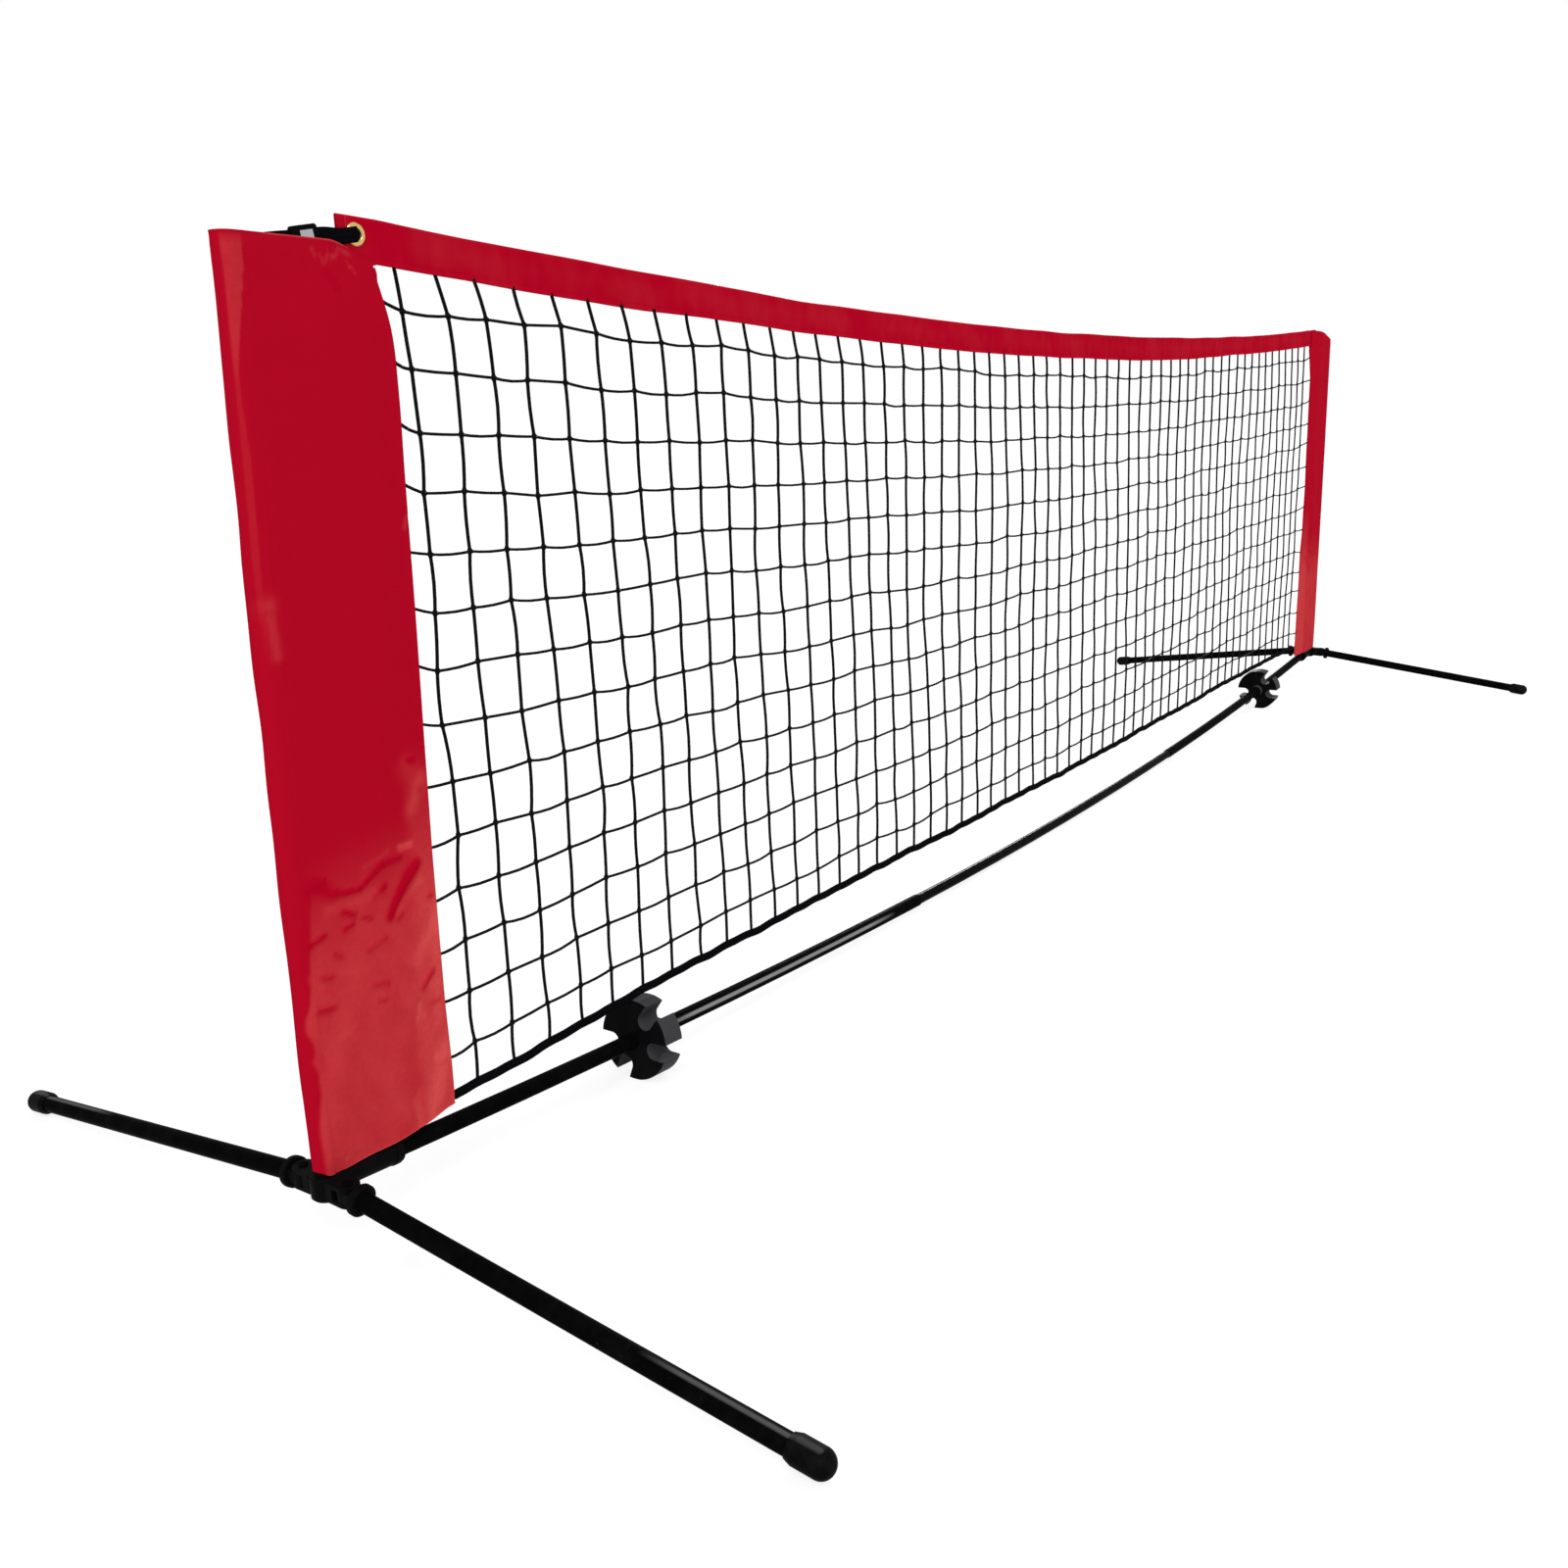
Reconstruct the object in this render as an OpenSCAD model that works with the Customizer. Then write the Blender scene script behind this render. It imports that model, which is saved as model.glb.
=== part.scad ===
// Portable pickleball net: a bowed steel base bar on four folding legs, two
// posts in fabric side pockets, and a taped mesh net laced between them.
// x runs along the net, y across it (front is -y), z up, and the floor is z = 0.
// Everything is drawn for the left end and mirrored to the right end.

/* [Overall] */
// Distance between the two post axes at the hubs
span = 3200; // [2800:20:3600]
// Height of the base bar's axis at the hubs
hub_height = 78; // [76:1:84]
// Gap between the middle of the bowed bar and the floor
bar_floor_gap = 0.3; // [0.2:0.1:2]
// Lean of each post towards the net
post_lean = 1.07; // [0.6:0.01:1.5]

/* [Tubes] */
// Outer diameter of the two outer bar sections
bar_od = 18; // [17:0.5:19]
// Outer diameter of the middle bar section, which slides into the outer two
mid_bar_od = 15.6; // [14:0.2:15.6]
// Length of the middle bar section that shows
mid_bar_shown = 1066; // [900:2:1200]
// Length of the middle bar section inside each outer section
mid_bar_overlap = 150; // [80:1:200]
// Wall of every steel tube
tube_wall = 0.9; // [0.8:0.1:1]
// Outer diameter of the posts
post_od = 18; // [17:0.5:19]
// Height of the pocket's upper edge above the top of the posts
post_below_pocket = 5; // [3:1:10]
// Outer diameter of the legs
leg_od = 18; // [17:0.5:18.5]

/* [Hubs] */
// Radius of the hub's upright boss
boss_r = 14.5; // [14:0.1:15.5]
// Height of the boss's lower end
boss_bottom = 61; // [58:1:63]
// Radius of the collar that grips the bar
bar_collar_r = 13.2; // [12:0.1:13.4]
// Length of that collar, measured from the post axis
bar_collar_length = 79; // [60:1:90]
// Depth of solid hub between the post axis and the bar's end
bar_stop = 10; // [8:1:14]
// Height of the shoulder that the post stands on, above the bar's axis
shoulder = 14; // [13.5:0.5:18]
// Length of the spigot inside the post
spigot_length = 45; // [30:1:60]

/* [Leg hinges] */
// Distance of each hinge pin from the post axis
hinge_offset = 31; // [30.8:0.1:33]
// Height of each hinge
hinge_height = 73.5; // [71:0.1:73.8]
// Half of the height of each fork
fork_half = 9.6; // [9.2:0.1:9.8]
// Thickness of each ear of a fork
ear = 3.6; // [3:0.1:4]
// Radius of the fork's rounded end
fork_r = 10.5; // [9.5:0.1:10.8]
// Radius of the hinge pins
pin_r = 3; // [2.5:0.1:3.5]
// Radius of the collar on each knuckle
collar_r = 14.6; // [12:0.1:14.7]
// Width of that collar
collar_width = 7.5; // [6:0.5:12]
// Length of the spigot inside each leg
leg_spigot = 27; // [20:1:40]

/* [Legs and feet] */
// Distance from the hinge to the middle of the foot's round end
leg_reach = 496; // [470:1:520]
// Angle by which each leg points in towards the middle of the net
leg_toe = 0.9; // [0:0.1:3]
// Diameter of the rubber feet
foot_od = 24; // [23:0.1:27]
// Length of each foot
foot_length = 38; // [34:1:44]
// Depth of the flat on which each foot stands
foot_flat = 0.4; // [0.3:0.1:0.8]

/* [Storage clips] */
// Distance of each clip from the post axis
clip_from_post = 433; // [400:1:450]
// Width of each clip along the bar
clip_width = 33; // [26:1:38]
// Depth of the flat on which each clip stands
clip_flat = 1.6; // [1:0.1:2]
// Distance of a slot's round end from the bar's axis
slot_reach = 31.7; // [31.2:0.1:33]
// Height of a folded leg below the bar's axis
slot_drop = 6.6; // [5:0.1:8]
// Room round a leg in its slot
slot_clearance = 1.1; // [1:0.1:1.3]
// Direction of the upper spare slot, from the back towards the top
upper_slot_angle = 125; // [120:1:128]
// Direction of the lower spare slot, from the back towards the floor
lower_slot_angle = 70; // [66:1:72]
// Radius of the clip's small collar
clip_collar_r = 13; // [12:0.1:15]
// Length of that collar
clip_collar_length = 14; // [8:1:20]

/* [Side pockets] */
// Inner radius of the pocket round the post
pocket_r = 10.5; // [10.4:0.1:11]
// Thickness of the fabric wall
fabric = 0.9; // [0.6:0.1:1]
// Distance from the post axis to the pocket's inner edge
pocket_reach = 154; // [148:1:165]
// Half of the thickness of the sewn inner edge
edge_half = 2.2; // [2:0.1:2.6]
// Distance from the post axis to the place where the panels start to close
bulge_reach = 95; // [88:1:100]
// Inner half width of the pocket there
bulge_r = 9; // [8.8:0.1:9.4]
// Height of the pocket's lower edge
pocket_bottom = 84.5; // [84.5:0.1:88]
// Height of the band's ends above the pocket's upper edge
band_over_pocket = 20; // [16:0.5:22]
// Depth of the slope at the upper inner corner
corner_drop = 14; // [8:1:18]
// Length of that slope
corner_run = 40; // [30:1:50]

/* [Top band] */
// Height of the band's upper edge at mid span
band_mid_height = 846; // [830:1:860]
// Height of its upper edge at its ends
band_end_height = 896; // [892:1:898]
// Depth of the band
band_depth = 37.5; // [36:0.5:40]
// Thickness of the folded band
band_thick = 3; // [2.4:0.1:3.2]
// Length of each band end inside the pocket
band_tuck = 44; // [42:1:47]
// Distance from the band's end to the grommet's centre
grommet_inset = 14.5; // [13:0.5:16]
// Distance from the band's upper edge to the grommet's centre
grommet_drop = 12; // [11.5:0.5:13]
// Radius of the grommet's hole
grommet_hole = 5.5; // [5.2:0.1:6]
// Outer radius of the grommet
grommet_r = 9.5; // [8.5:0.1:10]

/* [Straps and buckles] */
// Width of the webbing strap
strap_width = 19; // [16:0.5:20]
// Thickness of the webbing
strap_thick = 1; // [0.8:0.05:1]
// Depth of the strap's middle on the post below the pocket's upper edge
strap_below_pocket = 16; // [15:0.5:20]
// Width of the bunched strap at the grommet
strap_nose = 9; // [8:0.1:9.6]
// Distance from the post axis to the buckle's middle
buckle_reach = 71; // [64:1:74]
// Length of the buckle
buckle_length = 26; // [22:0.5:28]
// Height of the buckle
buckle_height = 25; // [24:0.5:26]
// Thickness of the buckle
buckle_thick = 5; // [4.6:0.1:5.2]
// Length of the buckle's steel bar plate
bar_plate_length = 13; // [10:0.5:14]

/* [Net] */
// Distance between neighbouring upright twines
mesh_pitch = 51.2; // [45:0.1:60]
// Number of level twines
mesh_rows = 14; // [12:1:16]
// Diameter of the twine
twine = 2.5; // [1.6:0.1:3]
// Distance from the pocket's edge to the first upright twine
first_upright = 20; // [10:1:30]
// Share of the mesh height below the lowest level twine
lowest_row = 0.052; // [0.03:0.001:0.07]
// Share of the mesh height above the highest level twine
highest_row = 0.04; // [0.03:0.001:0.07]
// Height of the hem tape's middle at mid span
hem_mid_height = 96; // [95:0.5:100]
// Height of the hem tape's middle at the pockets
hem_end_height = 101; // [101:0.5:106]
// Depth of the hem tape
hem_depth = 9.5; // [8:0.5:11]
// Thickness of the hem tape
hem_thick = 4.6; // [4.2:0.1:5]

/* [Hidden] */

$fn = 48;
tight = 0.1;       // radial room of a tube in a moulded socket
bar_room = 0.25;   // radial room of the bowed bar in a straight bore
running = 0.06;    // radial room of the knuckle on its pin
seat = 0.3;        // room between soft pieces and what carries them
slide = 0.1;       // radial room of a spigot in a tube
swing = 0.3;       // room between a fork's ear and its tongue
far = 4000;        // longer than the whole net
past = 2;          // how far a cut runs past the piece it cuts
floor_depth = 60;  // depth of the block that cuts pieces flat on the floor
boss_chamfer = 2.5;
fork_root = 11;    // distance from the post axis at which a fork grows out of the boss
rib_from = 9;      // the bar collar's rib, measured back from the collar's end
rib_to = 3;
rib_rise = 0.9;
collar_edge = 1.5; // chamfer of the knuckle's collar
foot_skirt = 1.2;  // wall of the foot at its open end
foot_flare = 6;    // length over which the foot widens behind its open end
clip_edge = 2;     // chamfer of the clip's rims
head_over = 1.6;   // how far a pin's head covers the fork round the pin
head_rise = 1.2;
plug_length = 16;  // the post cap's plug inside the post
cap_rise = 3;
cap_edge = 1.4;
seam = 7;          // width of the pocket's sewn edge
seam_step = 1.2;   // half the thickness of one fabric layer at the sewn edge
flange = 0.8;      // rise of the grommet's flanges over the band
barrel = 1;        // wall of the grommet's barrel
strap_gap = 0.2;   // room between the strap and the post
bunch_from = 0.72; // shares of the strap's run at which it narrows
bunch_to = 0.93;
bunch_end = 1.03;
buckle_corner = 3;
plate_offset = 1.5;
plate_thick = 1.2;
plate_bed = 1.2;   // depth of the plate's bed in the buckle
net_gap = 0.2;     // room between the net's pieces and the cloth they are sewn to
frame_black = [0.06, 0.06, 0.065];
plastic_black = [0.09, 0.09, 0.1];
fabric_red = [0.68, 0.02, 0.12];

// The bowed bar: an arc through the hubs that just clears the floor
half_span = span / 2;
mid_z = mid_bar_od / 2 + bar_floor_gap;
bar_rise = hub_height - mid_z;
collar_end = -half_span + bar_collar_length;
bow_r = round((half_span * half_span + bar_rise * bar_rise) / (2 * bar_rise));
bow_centre = round(10 * (mid_z + bow_r)) / 10;
function bar_z(x) = bow_centre - sqrt(bow_r * bow_r - x * x);
function bar_angle(x) = asin(x / bow_r);

// The legs: both end directions, and the hinge axis that turns one into the other
foot_r = foot_od / 2;
hinge_at = [-half_span, -hinge_offset, hinge_height];
leg_droop = asin((hinge_height - foot_r + foot_flat) / leg_reach);
open_way = [cos(leg_droop) * sin(leg_toe), -cos(leg_droop) * cos(leg_toe), -sin(leg_droop)];
clip_x = half_span - clip_from_post;
clip_z = bar_z(clip_x);
slot_z = clip_z - slot_drop;
fold_droop = atan((hinge_height - slot_z) / clip_from_post);
fold_way = [cos(fold_droop), 0, -sin(fold_droop)];
swing_way = (fold_way - open_way) / norm(fold_way - open_way);
hinge_raw = [0, 0, 1] - swing_way[2] * swing_way;
hinge_axis = hinge_raw / norm(hinge_raw);
hinge_tilt = acos(hinge_axis[2]);
tilt_line = cross([0, 0, 1], hinge_axis) / norm(cross([0, 0, 1], hinge_axis));
function turned(v, line, angle) =
  v * cos(angle) + cross(line, v) * sin(angle) + line * (line * v) * (1 - cos(angle));
function heading(way) =
  atan2(way * turned([0, 1, 0], tilt_line, hinge_tilt), way * turned([1, 0, 0], tilt_line, hinge_tilt));
open_heading = heading(open_way);
fold_angle = heading(fold_way) - open_heading;
leg_pitch = asin(-(open_way * hinge_axis));
tongue_half = fork_half - ear - swing;
tongue_r = fork_r - swing;
tongue_flank = tongue_r - 0.4;
collar_start = fork_r + collar_edge;
tube_start = collar_start + 2.5;
leg_in_r = leg_od / 2 - tube_wall;
leg_end = leg_reach + 2;
slot_r = leg_od / 2 + slot_clearance;
clip_r = clip_z + clip_flat;

// The posts and pockets
pocket_top = band_end_height - band_over_pocket;
post_top = pocket_top - post_below_pocket;
strap_height = pocket_top - strap_below_pocket;
post_r = post_od / 2;
boss_top = pocket_bottom - seat;
function post_x(z) = -half_span + (z - hub_height) * tan(post_lean);
function edge_x(z) = post_x(z) + pocket_reach / cos(post_lean);

// The band and the hem: parabolas between the two ends
band_end = -edge_x(band_end_height - band_depth) + band_tuck;
function band_top(x) = band_mid_height + (band_end_height - band_mid_height) * pow(x / band_end, 2);
function band_low(x) = band_top(x) - band_depth;
hem_end = -edge_x(hem_end_height) - net_gap;
function hem_mid(x) = hem_mid_height + (hem_end_height - hem_mid_height) * pow(x / hem_end, 2);
function hem_top(x) = hem_mid(x) + hem_depth / 2;
grommet_x = -(band_end - grommet_inset);
grommet_z = band_top(grommet_x) - grommet_drop;

// The strap: a loop round the post that narrows to pass through the grommet
strap_x = post_x(strap_height);
strap_in = post_r + strap_gap;
strap_out = strap_in + strap_thick;
nose_in = band_thick / 2 + flange + seat;
strap_run = grommet_x - strap_x;
strap_turn = atan((strap_in - nose_in) / strap_run);
strap_climb = atan((grommet_z - strap_height) / strap_run);

function curve_points(low, high, from, to, steps) = concat(
  [for (i = [0:steps]) [from + (to - from) * i / steps, low(from + (to - from) * i / steps)]],
  [for (i = [steps:-1:0]) [from + (to - from) * i / steps, high(from + (to - from) * i / steps)]]
);

// ---- shared helpers -------------------------------------------------------

module at_right() mirror([1, 0, 0]) children();
module at_back() mirror([0, 1, 0]) children();

// A tube that follows the bowed bar from one x to another on the same side of x = 0
module bowed_tube(outer_r, from, to)
  translate([0, 0, bow_centre]) rotate([90, 0, 0]) rotate([0, 0, bar_angle(from) - 90])
    rotate_extrude(angle = bar_angle(to) - bar_angle(from), $fn = 256) translate([bow_r, 0])
      difference() {
        circle(r = outer_r);
        circle(r = outer_r - tube_wall);
      }

// A bore along the bowed bar, straight over its short length
module bar_bore(r, from, to) {
  middle = (from + to) / 2;
  translate([middle, 0, bar_z(middle)]) rotate([0, -bar_angle(middle), 0])
    rotate([0, 90, 0]) cylinder(r = r, h = to - from, center = true);
}

// Upright line through the hub that leans with the post, with z = 0 at the bar's axis
module at_post() translate([-half_span, 0, hub_height]) rotate([0, post_lean, 0]) children();

// Frame of the front left hinge: z along the pin
module at_hinge() translate(hinge_at) rotate(a = hinge_tilt, v = tilt_line) children();

// Frame of the front left leg: x along the leg, from the hinge
module along_leg() at_hinge() rotate([0, 0, open_heading]) rotate([0, leg_pitch, 0]) children();

// Turns a profile of [radius, height] points about the z axis
module turned_upright(profile) rotate_extrude() polygon(profile);

// Turns a profile of [radius, distance] points about the x axis
module turned_about_x(profile) rotate([90, 0, 90]) rotate_extrude() polygon(profile);

module floor_cut() translate([-far, -far, -floor_depth]) cube([2 * far, 2 * far, floor_depth]);

// ---- steel frame ------------------------------------------------------------

// One hub: boss, bar collar, post spigot and the two leg forks
module hub() color(plastic_black) difference() {
  union() {
    translate([-half_span, 0, boss_bottom]) turned_upright([
      [0, 0], [boss_r - boss_chamfer, 0], [boss_r, boss_chamfer], [boss_r, boss_top - boss_bottom - 1],
      [boss_r - 1, boss_top - boss_bottom], [0, boss_top - boss_bottom]
    ]);
    at_post() cylinder(r = post_r, h = shoulder);
    at_post() cylinder(r = post_r - tube_wall - slide, h = shoulder + spigot_length);
    bar_collar();
    fork();
    at_back() fork();
  }
  bar_bore(bar_od / 2 + bar_room, -half_span + bar_stop, collar_end + past);
  fork_slot();
  at_back() fork_slot();
}

// Collar that grips the bar, with a rib near its end and a flat top under the pocket
module bar_collar() difference() {
  union() {
    bar_bore(bar_collar_r, -half_span, collar_end);
    bar_bore(bar_collar_r + rib_rise, collar_end - rib_from, collar_end - rib_to);
  }
  translate([-far, -far, boss_top]) cube([2 * far, 2 * far, far]);
}

// Fork of the front left leg, before its slot is cut
module fork() at_hinge() {
  cylinder(r = fork_r, h = 2 * fork_half, center = true);
  translate([-fork_r, 0, -fork_half]) cube([2 * fork_r, hinge_offset - fork_root, 2 * fork_half]);
}

module fork_slot() at_hinge() {
  slot_half = tongue_half + swing;
  translate([-fork_r - past, -fork_r - past, -slot_half])
    cube([2 * (fork_r + past), 2 * fork_r + past + swing, 2 * slot_half]);
  cylinder(r = pin_r + tight, h = far, center = true);
}

// Outer bar section, plugged into the hub
module bar_outer() color(frame_black)
  bowed_tube(bar_od / 2, -half_span + bar_stop, -mid_bar_shown / 2);

// Middle bar section, inside both outer ones: two equal halves that meet at x = 0
module bar_middle() color(frame_black) {
  bowed_tube(mid_bar_od / 2, 0, mid_bar_shown / 2 + mid_bar_overlap);
  at_right() bowed_tube(mid_bar_od / 2, 0, mid_bar_shown / 2 + mid_bar_overlap);
}

// Post, standing on the hub's spigot
module post() color(frame_black) at_post() translate([0, 0, shoulder]) difference() {
  length = (post_top - hub_height) / cos(post_lean) - shoulder;
  cylinder(r = post_r, h = length);
  translate([0, 0, -past]) cylinder(r = post_r - tube_wall, h = length + 2 * past);
}

// Moulded plug that closes the post
module post_cap() color(plastic_black) {
  plug_r = post_r - tube_wall - slide;
  at_post() translate([0, 0, (post_top - hub_height) / cos(post_lean)]) turned_upright([
    [0, -plug_length], [plug_r - 0.6, -plug_length], [plug_r, -plug_length + past], [plug_r, 0],
    [post_r, 0], [post_r, cap_rise - cap_edge], [post_r - cap_edge, cap_rise], [0, cap_rise]
  ]);
}

// ---- storage clips ----------------------------------------------------------

// A wheel with four open slots that holds folded tubes beside the bar
module clip() color(plastic_black) difference() {
  translate([-clip_x, 0, clip_z]) rotate([0, bar_angle(clip_x), 0]) difference() {
    turned_about_x([
      [0, -clip_width / 2], [clip_r - clip_edge, -clip_width / 2], [clip_r, -clip_width / 2 + clip_edge],
      [clip_r, clip_width / 2 - clip_edge], [clip_r - clip_edge, clip_width / 2],
      [clip_collar_r, clip_width / 2],
      [clip_collar_r, clip_width / 2 + clip_collar_length], [0, clip_width / 2 + clip_collar_length]
    ]);
    spare_slot(upper_slot_angle);
    spare_slot(-lower_slot_angle);
    leg_slot();
    at_back() leg_slot();
  }
  bar_bore(bar_od / 2 + bar_room, -clip_x - clip_width, -clip_x + clip_width + clip_collar_length);
  floor_cut();
}

module leg_slot() translate([0, -hinge_offset, -slot_drop]) slot_shape(-1);

module spare_slot(angle) rotate([angle, 0, 0]) translate([0, slot_reach, 0]) slot_shape(1);

// A U-shaped slot with its round end on the origin, open towards side * y
module slot_shape(side) {
  rotate([0, 90, 0]) cylinder(r = slot_r, h = 2 * clip_width, center = true);
  translate([0, side * clip_r / 2, 0]) cube([2 * clip_width, clip_r, 2 * slot_r], center = true);
}

// ---- legs -------------------------------------------------------------------

// Moulded end of a leg: tongue on the pin, collar, and spigot inside the tube
module leg_knuckle() color(plastic_black) difference() {
  union() {
    at_hinge() cylinder(r = tongue_r, h = 2 * tongue_half, center = true);
    at_hinge() rotate([0, 0, open_heading]) translate([0, -tongue_flank, -tongue_half])
      cube([collar_start + past, 2 * tongue_flank, 2 * tongue_half]);
    along_leg() turned_about_x([
      [0, collar_start], [collar_r - collar_edge, collar_start], [collar_r, collar_start + collar_edge],
      [collar_r, collar_start + collar_width - collar_edge],
      [collar_r - collar_edge, collar_start + collar_width],
      [leg_od / 2 + tight, collar_start + collar_width], [leg_od / 2 + tight, tube_start],
      [leg_in_r - slide, tube_start], [leg_in_r - slide, tube_start + leg_spigot], [0, tube_start + leg_spigot]
    ]);
  }
  at_hinge() cylinder(r = pin_r + running, h = far, center = true);
}

module leg_tube() color(frame_black) along_leg() turned_about_x([
  [leg_in_r, tube_start], [leg_od / 2, tube_start], [leg_od / 2, leg_end], [leg_in_r, leg_end]
]);

// Rubber foot with a round end, cut flat where it stands
module leg_foot() color([0.05, 0.05, 0.05]) difference() {
  mouth = leg_reach + foot_r - foot_length;
  along_leg() difference() {
    union() {
      turned_about_x([
        [0, mouth], [leg_od / 2 + foot_skirt, mouth], [foot_r, mouth + foot_flare],
        [foot_r, leg_reach], [0, leg_reach]
      ]);
      translate([leg_reach, 0, 0]) sphere(r = foot_r);
    }
    translate([mouth - past, 0, 0]) rotate([0, 90, 0])
      cylinder(r = leg_od / 2 + tight, h = leg_end + seat - mouth + past);
  }
  floor_cut();
}

// Rivet pin with a low head above and below the fork
module hinge_pin() color([0.55, 0.55, 0.56]) at_hinge() {
  cylinder(r = pin_r, h = 2 * (fork_half + head_rise), center = true);
  for (side = [-1, 1]) translate([0, 0, side * (fork_half + head_rise / 2)])
    cylinder(r = pin_r + head_over, h = head_rise, center = true);
}

// ---- fabric pockets ---------------------------------------------------------

// Points on an arc round [x, 0], from one angle to another
function arc_points(x, r, from, to, steps) =
  [for (i = [0:steps]) let (a = from + (to - from) * i / steps) [x + r * cos(a), r * sin(a)]];

// Level section of the pocket: round the post, flat to the bulge, then closing to the edge
module pocket_outline(post_side_r, bulge, edge_r, reach) polygon(concat(
  arc_points(0, post_side_r, 90, 270, 16), [[bulge_reach, -bulge]],
  arc_points(reach - edge_r, edge_r, -90, 90, 6), [[bulge_reach, bulge]]
));

// One side pocket: a flat fabric tube, open at both ends, with the band let in at the top
module pocket() color(fabric_red) difference() {
  at_post() linear_extrude(height = pocket_top) difference() {
    pocket_outline(pocket_r + fabric, bulge_r + fabric, edge_half, pocket_reach);
    pocket_outline(pocket_r, bulge_r, edge_half - seam_step, pocket_reach - seam);
  }
  translate([-far, -far, -far + pocket_bottom]) cube([2 * far, 2 * far, far]);
  translate([-far, -far, pocket_top]) cube([2 * far, 2 * far, far]);
  // sloped upper inner corner
  translate([edge_x(pocket_top) - corner_run, 0, pocket_top]) rotate([0, atan(corner_drop / corner_run), 0])
    translate([0, -corner_run, 0]) cube([2 * corner_run, 2 * corner_run, corner_run]);
  // way in for the band's end
  translate([-band_end - 2 * past, -band_thick / 2 - seat, band_low(band_end) - 2 * past])
    cube([2 * band_tuck, band_thick + 2 * seat, 2 * band_depth]);
}

// ---- top band, grommets and straps -------------------------------------------

module top_band() color(fabric_red) difference() {
  rotate([90, 0, 0]) linear_extrude(height = band_thick, center = true)
    polygon(curve_points(function(x) band_low(x), function(x) band_top(x), -band_end, band_end, 36));
  for (side = [-1, 1]) translate([side * grommet_x, 0, grommet_z]) rotate([90, 0, 0])
    cylinder(r = grommet_hole + barrel + tight, h = 2 * band_thick, center = true);
}

// Brass grommet: a barrel through the band with a flange on each face
module grommet() color([0.72, 0.56, 0.27]) {
  face = band_thick / 2;
  rim = grommet_r - flange;
  round_in = flange / 2;
  translate([grommet_x, 0, grommet_z]) rotate([90, 0, 0]) turned_upright([
    [grommet_hole, -face - round_in], [grommet_hole + round_in, -face - flange], [rim, -face - flange],
    [grommet_r, -face], [grommet_hole + barrel, -face], [grommet_hole + barrel, face], [grommet_r, face],
    [rim, face + flange], [grommet_hole + round_in, face + flange], [grommet_hole, face + round_in]
  ]);
}

// Webbing loop: round the post, along both sides and through the grommet
module strap() color([0.04, 0.04, 0.045]) {
  at_post() translate([0, 0, (strap_height - hub_height) / cos(post_lean)]) difference() {
    cylinder(r = strap_out, h = strap_width, center = true);
    cylinder(r = strap_in, h = strap_width + past, center = true);
    translate([0.5, -far / 2, -far / 2]) cube(far);
  }
  strap_side();
  at_back() strap_side();
  translate([grommet_x, 0, grommet_z]) rotate([90, 0, 0])
    cylinder(r = strap_nose / 2, h = 2 * nose_in + strap_thick, center = true);
}

// Flat side of the loop, which climbs and narrows towards the grommet
module strap_side() translate([strap_x, -strap_in, 0]) rotate([0, 0, strap_turn])
  rotate([90, 0, 0]) linear_extrude(height = strap_thick) polygon([
    [0, strap_height - strap_width / 2], [0, strap_height + strap_width / 2],
    strap_point(bunch_from, strap_width / 2), strap_point(bunch_to, strap_nose / 2),
    strap_point(bunch_end, strap_nose / 2), strap_point(bunch_end, -strap_nose / 2),
    strap_point(bunch_to, -strap_nose / 2), strap_point(bunch_from, -strap_width / 2)
  ]);

function strap_point(share, rise) =
  [strap_run * share, strap_height + (grommet_z - strap_height) * share + rise];

// Frame on the front side of the strap: x along the strap, y away from it
module at_buckle() translate([strap_x, -strap_in, strap_height]) rotate([0, 0, strap_turn])
  rotate([0, -strap_climb, 0]) translate([buckle_reach, -strap_thick / 2, 0]) children();

module buckle() color(plastic_black) at_buckle() difference() {
  rounded_block(buckle_length, buckle_thick, buckle_height, buckle_corner);
  cube([2 * buckle_length, strap_thick + 0.8, strap_width + 1.6], center = true);
  translate([plate_offset, -buckle_thick / 2, 0])
    cube([bar_plate_length + 1, 2 * plate_bed, strap_width - 1], center = true);
}

// Block with rounded corners in its front view
module rounded_block(length, thick, height, corner) rotate([90, 0, 0])
  linear_extrude(height = thick, center = true) {
    square([length - 2 * corner, height], center = true);
    square([length, height - 2 * corner], center = true);
    for (sx = [-1, 1], sy = [-1, 1])
      translate([sx * (length / 2 - corner), sy * (height / 2 - corner)]) circle(r = corner);
  }

// Steel plate in the buckle's front, which grips the webbing
module buckle_plate() color([0.6, 0.6, 0.62]) at_buckle()
  translate([plate_offset, -buckle_thick / 2 + plate_bed - plate_thick / 2, 0])
    cube([bar_plate_length, plate_thick, strap_width - 2], center = true);

// ---- net ----------------------------------------------------------------------

// Upright twines, evenly spaced from the left pocket to just short of the right one
module net_uprights() color([0.05, 0.05, 0.05]) {
  left = edge_x(hem_end_height) + first_upright;
  right = -edge_x(band_end_height) - twine;
  for (x = [left:mesh_pitch:right]) translate([x, twine / 2, hem_top(x) + net_gap])
    cylinder(d = twine, h = band_low(x) - hem_top(x) - 2 * net_gap, $fn = 16);
}

// Level twines, which follow the sag of the band and the hem
module net_rows() color([0.05, 0.05, 0.05]) rotate([90, 0, 0]) linear_extrude(height = twine)
  for (row = [0:mesh_rows - 1]) {
    share = lowest_row + (1 - lowest_row - highest_row) * row / (mesh_rows - 1);
    row_z = function(x) hem_top(x) + (band_low(x) - hem_top(x)) * share;
    reach = -edge_x(row_z(half_span - pocket_reach)) - net_gap;
    polygon(curve_points(
      function(x) row_z(x) - twine / 2, function(x) row_z(x) + twine / 2, -reach, reach, 24
    ));
  }

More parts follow.
